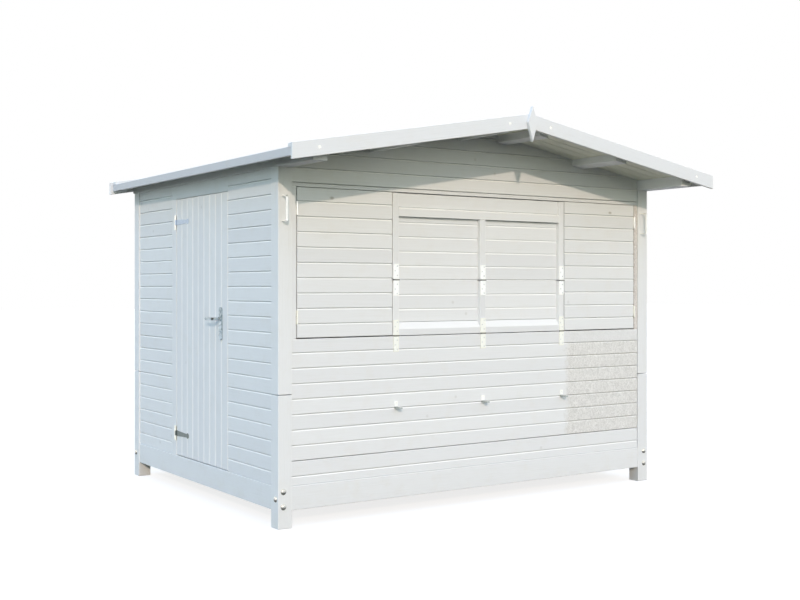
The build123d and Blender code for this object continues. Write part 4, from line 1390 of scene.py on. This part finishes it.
class HUT_OT_hinges(bpy.types.Operator):
    """Plates the hinges and screws them on"""

    bl_idname = "hut.hinges"
    bl_label = "Hinges"

    NODES = ("hatch_hinge_plates", "counter_hinges", "prop_hinges", "left_shutter_hinges",
             "right_shutter_hinges", "door_hinge_plates", "door_hinge_straps")
    # The leaves of the flap's hinges: the joint, the way from its pin, and the body
    LEAVES = (("counter_fold", -1, "hut"), ("counter_fold", 1, "counter"),
              ("prop_fold", -1, "counter"), ("prop_fold", 1, "prop"))
    # Places of the screws, as shares of the length of a leaf or a strap, or of half a plate's height
    LEAF_SCREWS = (0.28, 0.58, 0.86)
    STRAP_SCREWS = (0.16, 0.42, 0.68, 0.915)
    PLATE_SCREWS = (-0.7, 0.0, 0.7)
    # From the pin to the line of a plate's screws, as a share of the plate's width
    PLATE_LINE = 0.62

    def execute(self, context):
        fittings = context.scene.hut_fittings
        for node in self.NODES:
            plate_node(node, STRAP_ZINC if node == "door_hinge_straps" else ZINC)
        self.piles = {}
        for seed, body in enumerate(frame["bodies"], 90):
            self.piles[body] = Pile(f"{body}_hinge_screws", seed)
        self.radius = fittings.screw_radius
        face = FRONT.face + fittings.plate_thickness
        side = fittings.strap_width / 5
        for x in stile_middles(context.scene.hut_flap):
            for joint, toward, body in self.LEAVES:
                pin = JOINT_PLACES[joint].z
                for share, offset in zip(self.LEAF_SCREWS, (side, -side, side)):
                    z = pin + toward * share * fittings.strap_length
                    self.screw(body, Vector((x + offset, -face, z)), -REAR)
        low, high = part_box("door_hinge_plates")
        half = fittings.tee_height / 2
        pin = JOINT_PLACES["door_swing"].y
        line = pin + self.PLATE_LINE * fittings.tee_plate
        side_face = -(LEFT.face + fittings.plate_thickness)
        for middle in (low.z + half, high.z - half):
            for share in self.PLATE_SCREWS:
                self.screw("hut", Vector((side_face, line, middle + share * half)), -RIGHT)
            for share in self.STRAP_SCREWS:
                self.screw("door", Vector((side_face, pin - share * fittings.tee_strap, middle)), -RIGHT)
        for body, pile in self.piles.items():
            if pile.points:
                finish_metal(pile, body, STRAP_ZINC if body == "door" else SCREW_ZINC)
        return {"FINISHED"}

    def screw(self, body, point, outward):
        """One screw on a plate of a body."""
        add_screw(self.piles[body], facing(point, outward), self.radius)


class HUT_OT_lever(bpy.types.Operator):
    """Makes the lever handles of the door, with their long plates and locks"""

    bl_idname = "hut.lever"
    bl_label = "Lever handles"

    PLATE_HEIGHT = 0.210
    PLATE_WIDTH = 0.040
    PLATE_THICKNESS = 0.008
    PLATE_DROP = 0.030
    REACH = 0.128
    PROJECTION = 0.056
    GRIP_RADIUS = 0.009
    BEND = 0.022
    LOCK_DROP = 0.072
    EDGE = 0.094
    # Edge of the plate, and its screws as shares of its height from its middle
    PLATE_EDGE = 0.002
    SCREW_SHARES = (0.40, -0.40)
    # Radius and height up the sides of the collar and of the lock's barrel and tail
    COLLAR = ((0.0155, 0), (0.0155, 0.014), (0.0145, 0.016), (0.0100, 0.016))
    BARREL = ((0.0085, 0), (0.0085, 0.0032), (0.0078, 0.004), (0.0022, 0.004), (0.0018, 0.001))
    TAIL = ((0.0050, 0), (0.0050, 0.0032), (0.0044, 0.004), (0.0005, 0.004))
    # From the middle of the barrel down to the tail's
    TAIL_DROP = 0.014
    # The neck starts this far out, and the grip narrows by this share a step
    NECK_START = 0.006
    TAPER = 0.02
    # Painted shade on the lever: how far out it starts, from the spindle to the bend, and the radii of both
    # dark spots
    SHADE_SPOT_RISE = 0.012
    SHADE_SPOT_BEND = Vector((-0.040, 0.010, 0.002))
    SHADE_SPOT_RADII = (0.014, 0.016)

    def execute(self, context):
        fittings = context.scene.hut_fittings
        pile = Pile("door_lever_sets", 101)
        for x, outward in ((leaf_low.x, -RIGHT), (leaf_high.x, RIGHT)):
            place = facing(lever_place(x), outward)
            rearward = (place.to_3x3() @ RIGHT).dot(REAR)
            self.plate(pile, place)
            self.grip(pile, place, math.copysign(1, rearward))
            self.lock(pile, place)
            for share in self.SCREW_SHARES:
                drop = Vector((0, share * self.PLATE_HEIGHT - self.PLATE_DROP, self.PLATE_THICKNESS))
                add_screw(pile, place @ Matrix.Translation(drop), fittings.screw_radius)
        finish_metal(pile, "door", NICKEL, ("door_handle",))
        return {"FINISHED"}

    def plate(self, pile, place):
        """The long plate, with round ends and eased edges."""
        axes = place.to_3x3()
        run = Run(axes @ UP, axes @ RIGHT, axes @ REAR, 0)
        base = place.translation
        radius = self.PLATE_WIDTH / 2
        rise = self.PLATE_HEIGHT / 2 - radius
        outline = []
        for end in (1, -1):
            for step in range(13):
                angle = math.pi * step / 12
                across = end * radius * math.cos(angle)
                up = end * (rise + radius * math.sin(angle)) - self.PLATE_DROP
                outline.append((across + base.dot(run.across), -up - base.dot(run.out)))
        start = base.dot(run.along)
        top = start + self.PLATE_THICKNESS
        piece = prism(outline, run, (start, top))
        outer = {vert for vert in piece.verts if abs(vert.co.dot(run.along) - top) < MERGE_DISTANCE}
        rim = [edge for edge in piece.edges if outer.issuperset(edge.verts)]
        bmesh.ops.bevel(piece, geom=rim, offset=self.PLATE_EDGE, segments=3, profile=0.6, affect="EDGES")
        pile.add(piece)

    def grip(self, pile, place, way):
        """The lever: a collar, a neck, a bend and a grip with a round end."""
        pile.add(turned(self.COLLAR, place, 24))
        path = [self.NECK_START * UP]
        radii = [self.GRIP_RADIUS]
        centre = Vector((way * self.BEND, 0, self.PROJECTION - self.BEND))
        for step in range(9):
            angle = math.pi / 2 * step / 8
            path.append(centre + self.BEND * Vector((-way * math.cos(angle), 0, math.sin(angle))))
            radii.append(self.GRIP_RADIUS)
        for step in range(1, 6):
            reach = self.BEND + (self.REACH - self.BEND - self.GRIP_RADIUS) * step / 5
            path.append(Vector((way * reach, 0, self.PROJECTION)))
            radii.append(self.GRIP_RADIUS * (1 - self.TAPER * step))
        for step in range(1, 6):
            angle = math.pi / 2 * step / 5.4
            reach = self.REACH - self.GRIP_RADIUS * (1 - math.sin(angle))
            path.append(Vector((way * reach, 0, self.PROJECTION)))
            radii.append(0.9 * self.GRIP_RADIUS * math.cos(angle))
        pile.add(tube([place @ point for point in path], radii, 18))

    def lock(self, pile, place):
        """The lock's cylinder: a round barrel with a keyhole, and the narrower tail under it."""
        for profile, drop, sides in ((self.BARREL, 0, 24), (self.TAIL, self.TAIL_DROP, 18)):
            seat = Matrix.Translation(Vector((0, -self.LOCK_DROP - drop, self.PLATE_THICKNESS)))
            pile.add(turned(profile, place @ seat, sides))


class HUT_OT_ironwork(bpy.types.Operator):
    """Plates the hooks and pull bars and drives the frame bolts"""

    bl_idname = "hut.ironwork"
    bl_label = "Hooks, pull bars and bolts"

    def execute(self, context):
        fittings = context.scene.hut_fittings
        plate_node("counter_hooks", HOOK_ZINC)
        plate_node("post_pulls", ZINC)
        screws = Pile("hook_screws", 111)
        face = FRONT.face + fittings.plate_thickness
        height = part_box("counter_hooks")[1].z - 2.2 * fittings.screw_radius
        for x in stile_middles(context.scene.hut_flap):
            add_screw(screws, facing(Vector((x, -face, height)), -REAR), fittings.screw_radius)
        finish_metal(screws, "hut")
        bolts = Pile("frame_bolts", 112)
        middle = (side_sill_low.z + side_sill_high.z) / 2
        sill_thickness = front_sill_high.y - front_sill_low.y
        end_x = side_sill_high.x - sill_thickness / 2
        sills = ((front_sill_low, front_sill_high), (rear_sill_low, rear_sill_high))
        for side in (-1, 1):
            for y, outward in ((foot_low.y, -REAR), (foot_high.y, REAR)):
                for lift in (-fittings.bolt_spread / 2, fittings.bolt_spread / 2):
                    point = Vector((side * end_x, y, middle + lift))
                    add_bolt(bolts, facing(point, outward), fittings.bolt_radius, fittings.bolt_height)
            for low, high in sills:
                point = Vector((side * foot_high.x, (low.y + high.y) / 2, middle))
                add_bolt(bolts, facing(point, side * RIGHT), fittings.bolt_radius, fittings.bolt_height)
        finish_metal(bolts, "hut", BOLT_ZINC)
        return {"FINISHED"}


class HUT_OT_stage(bpy.types.Operator):
    """Sets the floor, the light and the camera"""

    bl_idname = "hut.stage"
    bl_label = "Stage"

    KEY_DIRECTION = Vector((0.4804, 0.8060, -0.3458))
    REAR_WAY = (0.53, 0.85, 0.0)
    FRONT_WAY = (0.20, -0.64, 0.74)
    LEFT_WAY = (-0.92, 0.20, 0.34)
    # A lobe of light fades out at this cosine from its middle
    LOBE_EDGE = 0.3
    WHITE = (1.0, 1.0, 1.0, 1.0)
    FLOOR_REACH = 60.0
    FLOOR_DROP = 0.0005
    # The floor as the camera sees it: the grey that takes the shadow, and the glow that brings it to white
    FLOOR_GREY = (0.34, 0.34, 0.34, 1.0)
    FLOOR_GLOW = 0.80
    SENSOR_WIDTH = 36.0
    VIEW_REACH = 200.0

    def execute(self, context):
        scene = context.scene
        scene.view_settings.view_transform = "Standard"
        self.floor(scene)
        self.light(scene)
        self.camera(scene)
        return {"FINISHED"}

    def seen(self, tree):
        """One for the rays that show the background: straight to the camera, or by a mirror or glass."""
        path = add_node(tree, "LightPath")
        mirror = add_node(tree, "Math", {"operation": "MAXIMUM"},
                          {0: (path, "Is Camera Ray"), 1: (path, "Is Glossy Ray")})
        return add_node(tree, "Math", {"operation": "MAXIMUM"},
                        {0: (mirror, "Value"), 1: (path, "Is Transmission Ray")})

    def floor(self, scene):
        """A pale floor that keeps the hut's shadow and is white where it is lit."""
        reach = self.FLOOR_REACH
        drop = -self.FLOOR_DROP
        mesh = bpy.data.meshes.new("studio_floor")
        corners = ((-reach, -reach), (reach, -reach), (reach, reach), (-reach, reach))
        mesh.from_pydata([(x, y, drop) for x, y in corners], [], [(0, 1, 2, 3)])
        material = bpy.data.materials.new("pale_matt_floor")
        material.use_nodes = True
        tree = material.node_tree
        tree.nodes.clear()
        tint = rgba(scene.hut_colours.floor)
        bounce = add_node(tree, "Emission", {},
                          {"Color": tint, "Strength": scene.hut_stage.floor_strength})
        shade = add_node(tree, "BsdfDiffuse", {}, {"Color": self.FLOOR_GREY})
        glow = add_node(tree, "Emission", {}, {"Color": self.WHITE, "Strength": self.FLOOR_GLOW})
        white = add_node(tree, "AddShader", {}, {0: (shade, "BSDF"), 1: (glow, "Emission")})
        mixed = add_node(tree, "MixShader", {},
                         {0: (self.seen(tree), "Value"), 1: (bounce, "Emission"), 2: (white, "Shader")})
        add_node(tree, "OutputMaterial", {}, {"Surface": (mixed, "Shader")})
        mesh.materials.append(material)
        floor = bpy.data.objects.new("studio_floor", mesh)
        scene.collection.objects.link(floor)

    def lobe(self, tree, way, toward, tint, strength):
        """Light that comes from round one direction and fades out to the sides."""
        near = add_node(tree, "VectorMath", {"operation": "DOT_PRODUCT"},
                        {0: (way, "Generated"), 1: toward})
        share = add_node(tree, "MapRange", {},
                         {"Value": (near, "Value"), "From Min": self.LOBE_EDGE, "From Max": 1.0,
                          "To Max": strength})
        return add_node(tree, "VectorMath", {"operation": "SCALE"},
                        {0: tuple(tint), "Scale": (share, "Result")})

    def light(self, scene):
        """A warm key from the front left, warm low fill and soft cool lights round the hut."""
        colours = scene.hut_colours
        stage = scene.hut_stage
        lamp = bpy.data.lights.new("key_light", "SUN")
        lamp.energy = stage.key_strength
        lamp.color = colours.sun
        lamp.angle = stage.key_softness
        key = bpy.data.objects.new("key_light", lamp)
        key.rotation_euler = self.KEY_DIRECTION.to_track_quat("-Z", "Y").to_euler()
        scene.collection.objects.link(key)
        world = bpy.data.worlds.new("studio_fill")
        world.use_nodes = True
        tree = world.node_tree
        tree.nodes.clear()
        way = add_node(tree, "TexCoord")
        height = add_node(tree, "SeparateXYZ", {}, {"Vector": (way, "Generated")})
        fade = add_node(tree, "MapRange", {},
                        {"Value": (height, "Z"), "To Min": stage.low_strength, "To Max": 0.0})
        total = add_node(tree, "VectorMath", {"operation": "SCALE"},
                         {0: tuple(colours.horizon), "Scale": (fade, "Result")})
        for toward, tint, strength in (
            (self.REAR_WAY, colours.rear_fill, stage.rear_strength),
            (self.FRONT_WAY, colours.front_fill, stage.front_strength),
            (self.LEFT_WAY, colours.left_fill, stage.left_strength),
        ):
            lobe = self.lobe(tree, way, toward, tint, strength)
            total = add_node(tree, "VectorMath", {"operation": "ADD"},
                             {0: (total, "Vector"), 1: (lobe, "Vector")})
        fill = add_node(tree, "Background", {}, {"Color": (total, "Vector"), "Strength": 1.0})
        white = add_node(tree, "Background", {}, {"Color": self.WHITE, "Strength": 1.0})
        mixed = add_node(tree, "MixShader", {},
                         {0: (self.seen(tree), "Value"), 1: (fill, "Background"),
                          2: (white, "Background")})
        add_node(tree, "OutputWorld", {}, {"Surface": (mixed, "Shader")})
        scene.world = world

    def camera(self, scene):
        """A level camera in front of the left corner."""
        stage = scene.hut_stage
        data = bpy.data.cameras.new("view_camera")
        data.sensor_width = self.SENSOR_WIDTH
        data.lens = stage.lens
        data.shift_y = stage.rise
        data.clip_end = self.VIEW_REACH
        camera = bpy.data.objects.new("view_camera", data)
        camera.location = stage.eye
        camera.rotation_euler = (math.pi / 2, 0, -stage.turn)
        scene.collection.objects.link(camera)
        scene.camera = camera


class HUT_PT_panel(bpy.types.Panel):
    """Lists the steps that build the hut"""

    bl_label = "Market hut"
    bl_idname = "HUT_PT_panel"
    bl_space_type = "VIEW_3D"
    bl_region_type = "UI"
    bl_category = "Hut"

    def draw(self, context):
        for operator in OPERATORS:
            self.layout.operator(operator.bl_idname)
        for group in GROUPS:
            box = self.layout.box()
            owner = getattr(context.scene, group)
            for name in GROUPS[group].__annotations__:
                box.prop(owner, name)


GROUPS = {
    "hut_boards": HutBoards,
    "hut_flap": HutFlap,
    "hut_fittings": HutFittings,
    "hut_roofing": HutRoofing,
    "hut_colours": HutColours,
    "hut_stage": HutStage,
}
OPERATORS = (
    HUT_OT_frame, HUT_OT_walls, HUT_OT_floor, HUT_OT_roof_boards, HUT_OT_roof_felt, HUT_OT_roof_trim,
    HUT_OT_shutters, HUT_OT_flap, HUT_OT_door, HUT_OT_hinges, HUT_OT_lever, HUT_OT_ironwork,
    HUT_OT_stage,
)


def register():
    for group, kind in GROUPS.items():
        bpy.utils.register_class(kind)
        setattr(bpy.types.Scene, group, PointerProperty(type=kind))
    for kind in OPERATORS + (HUT_PT_panel,):
        bpy.utils.register_class(kind)


def unregister():
    for kind in (HUT_PT_panel,) + OPERATORS[::-1]:
        bpy.utils.unregister_class(kind)
    for group, kind in GROUPS.items():
        delattr(bpy.types.Scene, group)
        bpy.utils.unregister_class(kind)


def main():
    register()
    bpy.ops.hut.frame()
    bpy.ops.hut.walls()
    bpy.ops.hut.floor()
    bpy.ops.hut.roof_boards()
    bpy.ops.hut.roof_felt()
    bpy.ops.hut.roof_trim()
    bpy.ops.hut.shutters()
    bpy.ops.hut.flap()
    bpy.ops.hut.door()
    bpy.ops.hut.hinges()
    bpy.ops.hut.lever()
    bpy.ops.hut.ironwork()
    bpy.ops.hut.stage()


if __name__ == "__main__":
    main()
